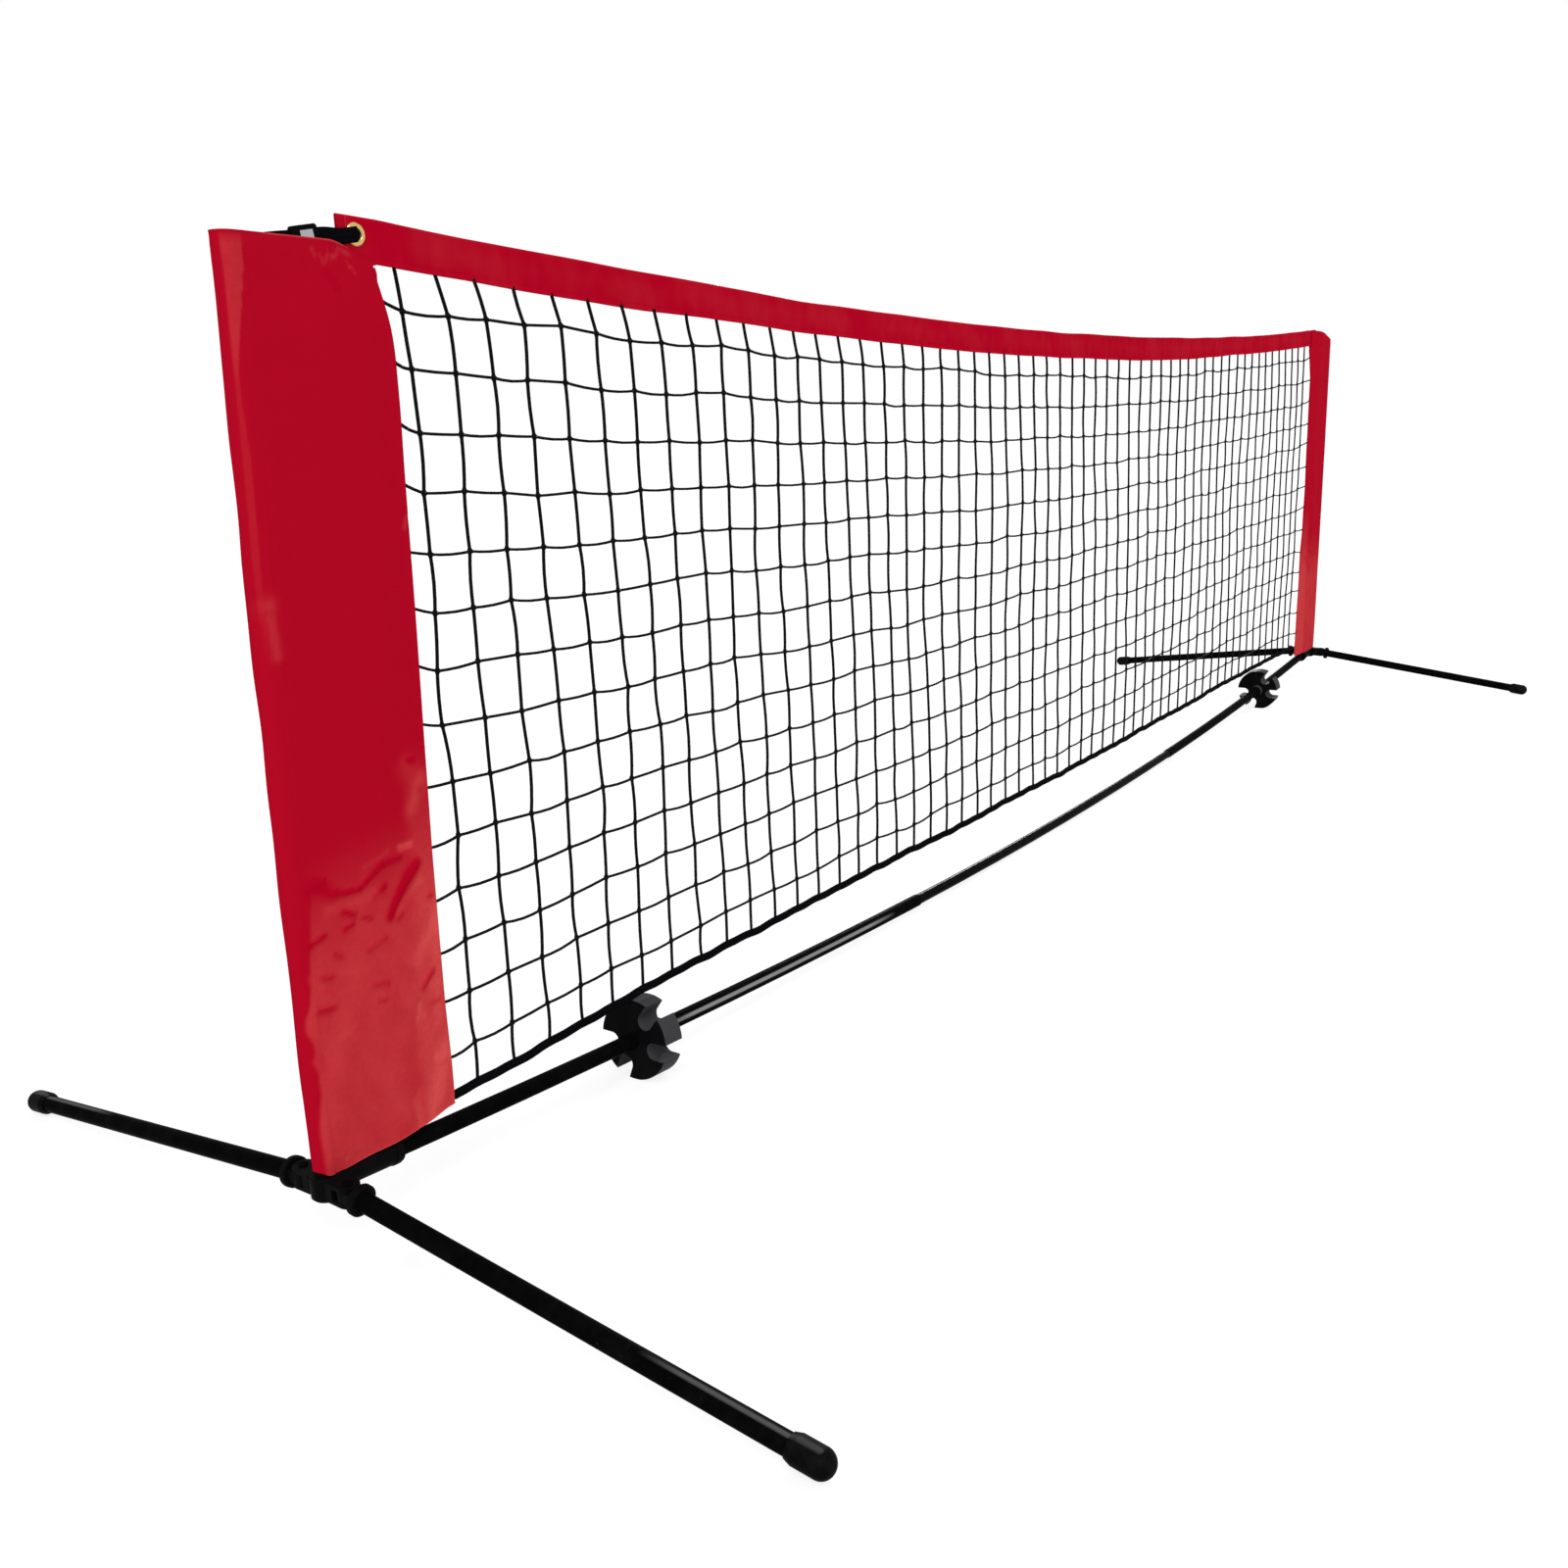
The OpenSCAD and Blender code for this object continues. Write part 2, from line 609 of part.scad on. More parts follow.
// Hem along the net's lower edge
module hem_tape() color([0.05, 0.05, 0.05]) rotate([90, 0, 0]) linear_extrude(height = hem_thick, center = true)
  polygon(curve_points(
    function(x) hem_mid(x) - hem_depth / 2, function(x) hem_top(x), -hem_end, hem_end, 24
  ));

// ---- one line per sub-part ------------------------------------------------------

hub();  // hub_left
at_right() hub();  // hub_right
bar_outer();  // bar_left
at_right() bar_outer();  // bar_right
clip();  // clip_left
at_right() clip();  // clip_right
post();  // post_left
at_right() post();  // post_right
post_cap();  // post_cap_left
at_right() post_cap();  // post_cap_right
pocket();  // pocket_left
at_right() pocket();  // pocket_right
grommet();  // grommet_left
at_right() grommet();  // grommet_right
strap();  // strap_left
at_right() strap();  // strap_right
buckle();  // buckle_left
at_right() buckle();  // buckle_right
buckle_plate();  // buckle_plate_left
at_right() buckle_plate();  // buckle_plate_right
bar_middle();
top_band();
net_uprights();
net_rows();
hem_tape();
leg_knuckle();  // leg_knuckle_front_left
at_back() leg_knuckle();  // leg_knuckle_back_left
at_right() leg_knuckle();  // leg_knuckle_front_right
at_right() at_back() leg_knuckle();  // leg_knuckle_back_right
leg_tube();  // leg_tube_front_left
at_back() leg_tube();  // leg_tube_back_left
at_right() leg_tube();  // leg_tube_front_right
at_right() at_back() leg_tube();  // leg_tube_back_right
leg_foot();  // leg_foot_front_left
at_back() leg_foot();  // leg_foot_back_left
at_right() leg_foot();  // leg_foot_front_right
at_right() at_back() leg_foot();  // leg_foot_back_right
hinge_pin();  // hinge_pin_front_left
at_back() hinge_pin();  // hinge_pin_back_left
at_right() hinge_pin();  // hinge_pin_front_right
at_right() at_back() hinge_pin();  // hinge_pin_back_right
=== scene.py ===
"""Builds the finished look of a portable court net round its packed frame.

The steel base, hubs, clips, legs and fittings come from the frame and get their finishes here. The cloth
sleeves, the top band, the netting, the hem tape and the strap loops are made as surfaces and swept shapes.
Lengths inside the functions are in millimetres, and new_piece() turns them into metres.
"""

import math

import bpy
import numpy as np
from mathutils import Matrix, Vector


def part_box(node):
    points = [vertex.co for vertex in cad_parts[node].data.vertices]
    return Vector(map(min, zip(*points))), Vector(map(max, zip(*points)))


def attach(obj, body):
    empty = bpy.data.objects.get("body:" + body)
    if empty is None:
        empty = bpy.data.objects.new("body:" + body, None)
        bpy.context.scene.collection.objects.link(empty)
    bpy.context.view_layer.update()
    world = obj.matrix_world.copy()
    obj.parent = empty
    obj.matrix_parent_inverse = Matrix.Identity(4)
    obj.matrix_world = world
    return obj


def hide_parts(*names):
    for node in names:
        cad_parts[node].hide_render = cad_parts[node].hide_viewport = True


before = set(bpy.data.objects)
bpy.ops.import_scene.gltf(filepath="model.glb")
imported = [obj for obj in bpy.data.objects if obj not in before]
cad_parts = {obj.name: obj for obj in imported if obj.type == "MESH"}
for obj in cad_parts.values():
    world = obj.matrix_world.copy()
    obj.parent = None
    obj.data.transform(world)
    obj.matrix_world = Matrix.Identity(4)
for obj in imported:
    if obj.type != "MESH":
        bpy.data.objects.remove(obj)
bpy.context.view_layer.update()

bl_info = {
    "name": "Portable Court Net",
    "version": (1, 0, 0),
    "blender": (4, 5, 0),
    "location": "View3D > Sidebar > Court Net",
    "description": "Dresses a folding court net: cloth sleeves, top band, netting, straps and finishes",
    "category": "Add Mesh",
}

MM = 0.001
MAIN_BODY = "frame_and_net"

# The frame's own lines, in mm: the leaning posts, the sagging band and hem, and the sleeves' and grommets' places
HALF_SPAN = 1600
HUB_HEIGHT = 78
LEAN = math.tan(math.radians(1.07))
SLEEVE_REACH = 154.03
BAND_DEPTH = 37.5
BAND_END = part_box("top_band")[1][0] / MM
BAND_TOP_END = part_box("top_band")[1][2] / MM
BAND_TOP_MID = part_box("top_band")[0][2] / MM + BAND_DEPTH
HEM_DEPTH = 9.5
HEM_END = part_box("hem_tape")[1][0] / MM
HEM_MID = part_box("hem_tape")[0][2] / MM + HEM_DEPTH / 2
HEM_RISE = 5
SLEEVE_BOTTOM = 84.6
GROMMET = (1460.9, 883.02)
GROMMET_HOLE = 6.9
# The strap loops: their height on the posts, half of their depth round the post and in the grommet, and how far
# they reach past the grommet's middle
STRAP_HEIGHT = 860
STRAP_RING = 9.75
STRAP_NOSE = 2.95
STRAP_BIGHT = 4.2
# Unevenness of the band as (x, rise): its upper edge, and its lower edge with the netting
TOP_RISE = ((-1480, -1440, -1400, -1340, -1178, -1088, -989, -878, 1455),
            (2.0, 3.0, 3.0, 2.4, 3.0, 2.8, 2.3, 0, 0))
LOW_RISE = ((-1455, -1440, -1400, -1340, -1260, -1178, -1088, -989, -878, -753, -612, -266, -52, 198, 496, 855,
             1455),
            (0, 4.5, 4.5, 4.2, 2.6, 2.5, 1.9, 3.2, 1.8, 1.5, 0, -2, -1.7, -3.4, -4, 0, 0))
# Unevenness of the hem as (x, rise)
HEM_LIFT = ((-1445, -1400, -1300, -1200, -1100, -900, -600, -400, 200, 400, 600, 750, 900, 1200, 1300, 1445),
            (-8.5, -6.5, -4, 0, 2, 2.5, 2.8, 0.5, 0, 3.5, 4, 6, 9, 9, 7, 4))


# ---- lines and unevenness ----------------------------------------------------


def post_x(z):
    """Distance of the right post's axis from mid net at a height: the half span less the lean's share."""
    return HALF_SPAN - (z - HUB_HEIGHT) * LEAN


def smoothed(value, table, reach):
    """A table read at a value and rounded off: the mean of five readings spread over the reach to both sides."""
    return np.mean([np.interp(value + reach * step, *table) for step in (-1, -0.5, 0, 0.5, 1)], axis=0)


def band_top(x):
    """Height of the band's upper edge: a parabola from mid span to its ends."""
    return BAND_TOP_MID + (BAND_TOP_END - BAND_TOP_MID) * (x / BAND_END) ** 2


def band_low(x):
    """Height of the band's lower edge, with its unevenness."""
    return band_top(x) - BAND_DEPTH + np.interp(x, *LOW_RISE)


def hem_mid(x):
    """Height of the hem tape's middle: a parabola that lifts towards the sleeves, with its unevenness."""
    return HEM_MID + HEM_RISE * (x / HEM_END) ** 2 + smoothed(x, HEM_LIFT, 40)


def eased(value, low, high):
    """0 below low, 1 above high, and the smooth cubic 3t2 - 2t3 between."""
    t = np.clip((value - low) / (high - low), 0, 1)
    return t * t * (3 - 2 * t)


def bell(distance, width):
    """Bell curve: 1 on the line and near 0 at twice the width away."""
    return np.exp(-((distance / width) ** 2))


def ripples(u, v, seed, longest, shortest, waves=9):
    """Smooth unevenness of about -1 to 1: a sum of plane waves with seeded headings, lengths and shifts."""
    draw = np.random.default_rng(seed)
    total = np.zeros(np.broadcast(u, v).shape)
    for _ in range(waves):
        heading, shift = draw.uniform(0, 2 * math.pi, 2)
        pull = 2 * math.pi / draw.uniform(shortest, longest)
        total += np.sin(pull * (u * math.cos(heading) + v * math.sin(heading)) + shift)
    return total / math.sqrt(waves)


def crease(s, z, start, end, width, height):
    """A fold along a straight line: height times a bell of the distance across, eased out past both ends."""
    along = np.subtract(end, start)
    length = np.hypot(*along)
    along = along / length
    run = (s - start[0]) * along[0] + (z - start[1]) * along[1]
    across = (z - start[1]) * along[0] - (s - start[0]) * along[1]
    ridge = height * bell(across, width)
    return ridge * eased(run, -width, width) * (1 - eased(run, length - width, length + width))


# ---- mesh making -------------------------------------------------------------


def grid_quads(rows, columns, wrap=False):
    """Quads between neighbouring rows and columns of points; with wrap the last column meets the first."""
    row = np.arange(rows - 1)[:, None] * columns
    column = np.arange(columns if wrap else columns - 1)[None, :]
    beside = (column + 1) % columns
    corners = [row + column, row + beside, row + columns + beside, row + columns + column]
    return np.stack(corners, axis=-1).reshape(-1, 4)


def end_quads(count, first):
    """Quads that close a ring with an even number of points, in strips between opposite points."""
    k = np.arange(count // 2 - 1)
    return first + np.stack([k, k + 1, count - 2 - k, count - 1 - k], axis=-1)


def swept(centres, side, profile):
    """Rings of a closed profile carried along a path: centre + side * across + up * over, up = heading x side.

    The profile is an array of (across, over) points, one for all rings or one for each ring.
    Returns the points, ring after ring, and the quads of the wall and both ends."""
    heading = np.gradient(centres, axis=0)
    heading /= np.linalg.norm(heading, axis=1, keepdims=True)
    side = np.broadcast_to(side, centres.shape)
    up = np.cross(heading, side)
    up /= np.linalg.norm(up, axis=1, keepdims=True)
    side = np.cross(up, heading)
    profile = np.broadcast_to(profile, (len(centres), *np.shape(profile)[-2:]))
    points = centres[:, None] + side[:, None] * profile[..., :1] + up[:, None] * profile[..., 1:]
    rings, count = points.shape[:2]
    quads = np.concatenate([
        grid_quads(rings, count, wrap=True),
        end_quads(count, 0)[:, ::-1],
        end_quads(count, (rings - 1) * count),
    ])
    return points.reshape(-1, 3), quads


def walled(outer, inner, wrap=False, left_out=None):
    """A closed shell from an outer and an inner grid of the same shape, with every open rim joined.

    left_out marks quads of the grid that are holes; their rims are joined as well."""
    rows, columns = outer.shape[:2]
    quads = grid_quads(rows, columns, wrap)
    if left_out is not None:
        quads = quads[~left_out]
    edges = np.stack([quads, np.roll(quads, -1, axis=1)], axis=-1).reshape(-1, 2)
    _, index, count = np.unique(np.sort(edges, axis=1), axis=0, return_index=True, return_counts=True)
    rim = edges[index[count == 1]]
    shift = rows * columns
    joined = np.stack([rim[:, 1], rim[:, 0], rim[:, 0] + shift, rim[:, 1] + shift], axis=-1)
    points = np.concatenate([outer.reshape(-1, 3), inner.reshape(-1, 3)])
    return points, np.concatenate([quads, quads[:, ::-1] + shift, joined])


def new_piece(name, points, quads, material, replaces=(), guide=None, sharp=50):
    """Makes the mesh object from points in mm and quads, with its finish, body and the nodes it stands for.

    guide is one (a, b, c) value for each point, kept as the attribute 'guide' that cloth finishes read."""
    used, quads = np.unique(quads, return_inverse=True)
    quads = quads.reshape(-1, 4)
    mesh = bpy.data.meshes.new(name)
    mesh.vertices.add(len(used))
    mesh.vertices.foreach_set("co", (points[used] * MM).astype(np.float32).ravel())
    mesh.loops.add(quads.size)
    mesh.loops.foreach_set("vertex_index", quads.astype(np.int32).ravel())
    mesh.polygons.add(len(quads))
    mesh.polygons.foreach_set("loop_start", np.arange(0, quads.size, 4, dtype=np.int32))
    mesh.polygons.foreach_set("use_smooth", np.ones(len(quads), dtype=bool))
    mesh.update(calc_edges=True)
    mesh.set_sharp_from_angle(angle=math.radians(sharp))
    if guide is not None:
        values = mesh.attributes.new("guide", "FLOAT_VECTOR", "POINT")
        values.data.foreach_set("vector", guide[used].astype(np.float32).ravel())
    mesh.materials.append(material)
    piece = bpy.data.objects.new(name, mesh)
    bpy.context.scene.collection.objects.link(piece)
    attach(piece, MAIN_BODY)
    if replaces:
        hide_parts(*replaces)
    return piece


# ---- finishes ----------------------------------------------------------------

DUST = (0.10, 0.095, 0.09)
# The ways that the painted highlight lines face: the top of the legs and feet, and the front of the left bar
LEG_TOP = (-0.12, 0, 0.993)
BAR_FRONT = (0, -0.93, 0.368)


class Tree:
    """Adds nodes to a material or a node group and links their sockets."""

    def __init__(self, tree):
        self.tree = tree
        self.tree.nodes.clear()

    def feed(self, node, inputs):
        """Gives a node its inputs: a socket is linked, and anything else is set."""
        for name, value in inputs.items():
            if isinstance(value, bpy.types.NodeSocket):
                self.tree.links.new(value, node.inputs[name])
            else:
                node.inputs[name].default_value = value

    def add(self, kind, inputs=None, **settings):
        """One node, with its settings and its inputs."""
        node = self.tree.nodes.new(kind)
        for name, value in settings.items():
            setattr(node, name, value)
        self.feed(node, inputs or {})
        return node

    def math(self, operation, a, b=0.0, clamp=False):
        """One Math node's result."""
        return self.add("ShaderNodeMath", {0: a, 1: b}, operation=operation, use_clamp=clamp).outputs[0]

    def spread(self, value, low, high, to_low=0.0, to_high=1.0):
        """The value carried from one range to another, kept inside it."""
        inputs = {"Value": value, "From Min": low, "From Max": high, "To Min": to_low, "To Max": to_high}
        return self.add("ShaderNodeMapRange", inputs).outputs[0]

    def blend(self, share, a, b):
        """Colour a turning into colour b as the share goes from 0 to 1, each a socket or red, green and blue."""
        a, b = (c if isinstance(c, bpy.types.NodeSocket) else (*c, 1.0) for c in (a, b))
        return self.add("ShaderNodeMix", {"Factor": share, 6: a, 7: b}, data_type="RGBA").outputs[2]

    def noise(self, place, scale, detail=3.0, roughness=0.5):
        """Soft noise from 0 to 1 at a place."""
        inputs = {"Vector": place, "Scale": scale, "Detail": detail, "Roughness": roughness}
        return self.add("ShaderNodeTexNoise", inputs).outputs["Fac"]

    def split(self, vector):
        """A vector's X, Y and Z."""
        return self.add("ShaderNodeSeparateXYZ", {0: vector}).outputs

    def seen(self):
        """1 for what the camera sees, also in reflections and through glass, and 0 for light on things."""
        path = self.add("ShaderNodeLightPath").outputs
        return self.math("MAXIMUM", path["Is Camera Ray"], self.math(
            "MAXIMUM", path["Is Glossy Ray"], path["Is Transmission Ray"]))


def new_group(name, inputs, outputs):
    """An empty shader node group, with its tree, its inputs and its output node.

    inputs gives each input's kind of socket and its default, and every output is a float."""
    group = bpy.data.node_groups.new(name, "ShaderNodeTree")
    for socket, (kind, default) in inputs.items():
        made = group.interface.new_socket(socket, in_out="INPUT", socket_type=f"NodeSocket{kind}")
        if kind == "Float":
            made.default_value = default
    for socket in outputs:
        group.interface.new_socket(socket, in_out="OUTPUT", socket_type="NodeSocketFloat")
    tree = Tree(group)
    return group, tree, tree.add("NodeGroupInput").outputs, tree.add("NodeGroupOutput")


def weave_group():
    """Plain weave: threads that pass over and under, as two crossed waves of the place in the cloth."""
    group, tree, given, out = new_group(
        "Weave", {"Vector": ("Vector", None), "Pitch": ("Float", 0.0006)}, ["Height", "Shade"])
    place = tree.split(given["Vector"])
    pull = tree.math("DIVIDE", math.pi, given["Pitch"])
    level = tree.math("ADD", place["X"], place["Y"])
    warp = tree.math("SINE", tree.math("MULTIPLY", level, pull))
    weft = tree.math("SINE", tree.math("MULTIPLY", place["Z"], pull))
    over = tree.math("MULTIPLY", warp, weft)
    threads = tree.math("ADD", tree.math("ABSOLUTE", warp), tree.math("ABSOLUTE", weft))
    height = tree.math("ADD", tree.math("MULTIPLY", over, 0.5), tree.math("MULTIPLY", threads, 0.35))
    # Shade is 0 in the hollows between threads and 1 on their crowns: painted shade and painted highlight for the
    # finishes that use it
    tree.feed(out, {"Height": height, "Shade": tree.spread(height, -0.4, 1.1)})
    return group


def grain_group():
    """Fine moulded or painted grain: two sizes of noise, and a slow change over the piece."""
    group, tree, given, out = new_group(
        "Grain", {"Vector": ("Vector", None), "Scale": ("Float", 900.0)}, ["Height", "Drift", "Speck"])
    fine = tree.noise(given["Vector"], given["Scale"], 2.0)
    broad = tree.noise(given["Vector"], tree.math("MULTIPLY", given["Scale"], 0.18), 3.0)
    drift = tree.noise(given["Vector"], tree.math("MULTIPLY", given["Scale"], 0.012), 4.0, 0.6)
    height = tree.math("ADD", tree.math("MULTIPLY", fine, 0.6), tree.math("MULTIPLY", broad, 0.4))
    tree.feed(out, {"Height": height, "Drift": drift, "Speck": tree.spread(fine, 0.66, 0.74)})
    return group


def wear_group():
    """Handling wear and dust: scratches where stretched noise peaks, and dust that settles near the floor."""
    group, tree, given, out = new_group(
        "Wear", {"Vector": ("Vector", None), "Amount": ("Float", 0.5)}, ["Scratch", "Dust"])
    stretched = tree.add("ShaderNodeMapping", {"Vector": given["Vector"], "Scale": (60, 260, 260)}).outputs[0]
    lines = tree.noise(stretched, 1.0, 3.0, 0.6)
    patches = tree.noise(given["Vector"], 14.0, 3.0)
    mask = tree.math("MULTIPLY", tree.spread(lines, 0.64, 0.72), tree.spread(patches, 0.5, 0.66))
    low = tree.spread(tree.split(given["Vector"])["Z"], 0.0, 0.09, 1.0, 0.15)
    dust = tree.math("MULTIPLY", low, tree.spread(tree.noise(given["Vector"], 45.0, 5.0, 0.65), 0.42, 0.8))
    tree.feed(out, {"Scratch": tree.math("MULTIPLY", mask, given["Amount"]),
                    "Dust": tree.math("MULTIPLY", dust, given["Amount"])})
    return group


def stitch_group():
    """A row of lock stitches: dashes along a line, from the distance across it and the run along it, in mm."""
    group, tree, given, out = new_group(
        "Stitches", {"Across": ("Float", 99.0), "Run": ("Float", 0.0), "Pitch": ("Float", 3.4)},
        ["Thread", "Height"])
    across = tree.math("ABSOLUTE", given["Across"])
    share = tree.math("FRACT", tree.math("DIVIDE", given["Run"], given["Pitch"]))
    phase = tree.math("ABSOLUTE", tree.math("SUBTRACT", share, 0.5))
    thread = tree.math("MULTIPLY", tree.spread(across, 0.28, 0.5, 1.0, 0.0),
                       tree.spread(phase, 0.36, 0.44, 1.0, 0.0))
    sink = tree.spread(across, 0.3, 1.8, 1.0, 0.0)
    height = tree.math("SUBTRACT", tree.math("MULTIPLY", thread, 0.8), tree.math("MULTIPLY", sink, 0.7))
    tree.feed(out, {"Thread": thread, "Height": height})
    return group


GROUPS = {}


def shared_groups():
    """The groups that finishes share, made once."""
    if not GROUPS:
        GROUPS.update(weave=weave_group(), grain=grain_group(), wear=wear_group(), stitch=stitch_group())
    return GROUPS


class Finish(Tree):
    """A material's tree, with its Object coordinates and its Principled shader.

    plain holds the values that are the same all over, which go on the shader's own sockets."""

    def __init__(self, name, plain):
        self.material = bpy.data.materials.new(name)
        self.material.use_nodes = True
        super().__init__(self.material.node_tree)
        self.shader = self.add("ShaderNodeBsdfPrincipled", plain)
        self.add("ShaderNodeOutputMaterial", {"Surface": self.shader.outputs[0]})
        self.place = self.add("ShaderNodeTexCoord").outputs["Object"]

    def use(self, name, **inputs):
        """One of the shared groups, placed in the material with its own values."""
        return self.add("ShaderNodeGroup", inputs, node_tree=shared_groups()[name]).outputs

    def facing(self):
        """The way that the surface faces."""
        return self.add("ShaderNodeNewGeometry").outputs["Normal"]

    def dusted(self, base, wear, share):
        """The colour with the wear group's dust on it."""
        return self.blend(self.math("MULTIPLY", wear["Dust"], share), base, DUST)

    def painted_highlight(self, base, way, run, grey):
        """The colour with a painted highlight: a paler line on the faces that point one way, eased in where the run
        goes from 0 to 1.
        """
        turned = self.add("ShaderNodeVectorMath", {0: self.facing(), 1: way}, operation="DOT_PRODUCT")
        line = self.spread(turned.outputs["Value"], 0.945, 0.995)
        return self.blend(self.math("MULTIPLY", line, run), base, [grey] * 3)

    def done(self, base, rough, *layers):
        """Gives the shader its colour, its roughness and a row of bumps, and returns the material.

        Each layer is a height, its strength and its distance in metres."""
        bumps = {}
        for height, strength, distance in layers:
            bump = self.add("ShaderNodeBump", {
                "Height": height, "Strength": strength, "Distance": distance, **bumps})
            bumps = {"Normal": bump.outputs[0]}
        self.feed(self.shader, {"Base Color": base, "Roughness": rough, **bumps})
        return self.material


def tinted(colour, times):
    """A colour with each of its values multiplied."""
    return [times * value for value in colour]


def coat_finish(name, look, gloss, smooth, painted_highlight=None):
    """Black powder coat on steel tube: fine orange peel, a soft gloss, faint scratches and floor dust.

    The last argument is "leg" for a painted highlight line along the top near the foot, or "bar" for a painted
    highlight line along the front between the left clip and the middle bar."""
    finish = Finish(name, {"Specular IOR Level": gloss})
    grain = finish.use("grain", Vector=finish.place, Scale=1400.0)
    wear = finish.use("wear", Vector=finish.place, Amount=look.wear)
    base = finish.blend(grain["Drift"], look.coat, tinted(look.coat, 1.6))
    base = finish.blend(wear["Scratch"], base, (0.03, 0.03, 0.032))
    # painted highlight: a paler line along the top of the legs near the foot, or along the front of the left bar
    if painted_highlight == "leg":
        along = finish.math("ABSOLUTE", finish.split(finish.place)["Y"])
        base = finish.painted_highlight(base, LEG_TOP, finish.spread(along, 0.36, 0.40), 0.085)
    if painted_highlight == "bar":
        off = finish.math("ABSOLUTE", finish.math("ADD", finish.split(finish.place)["X"], 0.88))
        base = finish.painted_highlight(base, BAR_FRONT, finish.spread(off, 0.2, 0.27, 1.0, 0.0), 0.24)
    rough = finish.math("ADD", finish.spread(grain["Drift"], 0.3, 0.7, smooth, smooth + 0.12),
                        finish.math("MULTIPLY", wear["Dust"], 0.2))
    return finish.done(finish.dusted(base, wear, 0.12), rough,
                       (grain["Height"], 0.2, 0.0002), (wear["Scratch"], 0.2, 0.0001))


def moulded_finish(name, look, painted_highlight=0.0):
    """Black moulded nylon: a spark-eroded grain, duller than the coat, with dust and fine scratches. The last
    argument is how grey the painted highlight makes the walls that run along the net."""
    finish = Finish(name, {"Specular IOR Level": 0.008})
    grain = finish.use("grain", Vector=finish.place, Scale=1900.0)
    wear = finish.use("wear", Vector=finish.place, Amount=look.wear)
    base = finish.blend(grain["Drift"], look.moulded, tinted(look.moulded, 1.5))
    base = finish.blend(finish.math("MULTIPLY", grain["Speck"], 0.15), base, (0.02, 0.02, 0.021))
    # painted highlight: walls that do not face along x are greyer
    if painted_highlight:
        endwise = finish.math("ABSOLUTE", finish.split(finish.facing())["X"])
        base = finish.blend(finish.spread(endwise, 0.3, 0.6, painted_highlight, 0.0), base, (0.10, 0.10, 0.108))
    return finish.done(finish.dusted(base, wear, 0.12), finish.spread(grain["Drift"], 0.3, 0.7, 0.36, 0.5),
                       (grain["Height"], 0.5, 0.0003), (wear["Scratch"], 0.3, 0.0002))


def rubber_finish(look):
    """Matt black rubber: soft grain, chalky dust near the floor, and a painted highlight along the top."""
    finish = Finish("foot rubber", {"Specular IOR Level": 0.008})
    grain = finish.use("grain", Vector=finish.place, Scale=1500.0)
    wear = finish.use("wear", Vector=finish.place, Amount=1.0)
    base = finish.blend(grain["Drift"], look.rubber, tinted(look.rubber, 1.7))
    # painted highlight along the top of the foot
    base = finish.painted_highlight(finish.dusted(base, wear, 0.1), LEG_TOP, 1.0, 0.05)
    return finish.done(base, finish.spread(grain["Drift"], 0.3, 0.7, 0.32, 0.5), (grain["Height"], 0.6, 0.0004))


def metal_finish(name, colour, dull, smooth, scale):
    """Bare metal with brushed grain: its own colour, duller in patches, with fine scratches."""
    finish = Finish(name, {"Metallic": 1.0})
    grain = finish.use("grain", Vector=finish.place, Scale=scale)
    wear = finish.use("wear", Vector=finish.place, Amount=0.8)
    base = finish.blend(finish.spread(grain["Drift"], 0.42, 0.68), colour, tinted(colour, dull))
    rough = finish.math("ADD", finish.spread(grain["Drift"], 0.3, 0.7, smooth, smooth + 0.16),
                        finish.math("MULTIPLY", wear["Scratch"], 0.2))
    return finish.done(base, rough, (grain["Height"], 0.2, 0.0002))


def cloth_finish(look):
    """Red coated nylon: a tight weave, small crumples, a painted sheen and painted highlights where it is slack and
    on its folds, sewn in its own colour.

    The guide attribute gives the distance across the nearest seam, the run along it, both in mm, and the share of
    painted sheen."""
    finish = Finish("red cloth", {"Specular IOR Level": 0.0005})
    guide = finish.split(finish.add("ShaderNodeAttribute", attribute_name="guide").outputs["Vector"])
    weave = finish.use("weave", Vector=finish.place, Pitch=look.weave)
    stitch = finish.use("stitch", Across=guide["X"], Run=guide["Y"])
    crumple = finish.noise(finish.place, 34.0, 4.0, 0.55)
    mottle = finish.noise(finish.place, 170.0, 4.0, 0.65)
    # the guide's paleness is painted sheen and painted highlight, broken up by the mottle
    pale = finish.math("MULTIPLY", guide["Z"], finish.spread(mottle, 0.3, 0.7, 0.84, 1.14), clamp=True)
    base = finish.blend(pale, look.red, look.pale)
    # painted shade in the hollows between the threads
    base = finish.blend(finish.spread(weave["Shade"], 0, 1, 0.1, 0.0), base, tinted(look.red, 0.45))
    base = finish.blend(finish.math("MULTIPLY", stitch["Thread"], 0.6), base, tinted(look.pale, 0.8))
    return finish.done(base, finish.spread(mottle, 0.3, 0.7, 0.44, 0.58), (crumple, 0.35, 0.0012),
                       (weave["Height"], 0.35, 0.00008), (stitch["Height"], 0.7, 0.0004))


def webbing_finish(name, colour, pitch):
    """Black woven webbing: ribbed threads, slightly fuzzy, with a painted highlight on their crowns."""
    finish = Finish(name, {"Specular IOR Level": 0.004})
    weave = finish.use("weave", Vector=finish.place, Pitch=pitch)
    fuzz = finish.noise(finish.place, 260.0, 4.0, 0.6)
    # painted highlight on the threads' crowns
    base = finish.blend(finish.math("MULTIPLY", weave["Shade"], fuzz), colour, tinted(colour, 3.2))
    return finish.done(base, finish.spread(fuzz, 0.3, 0.7, 0.6, 0.8),
                       (fuzz, 0.3, 0.0003), (weave["Height"], 0.6, 0.0003))


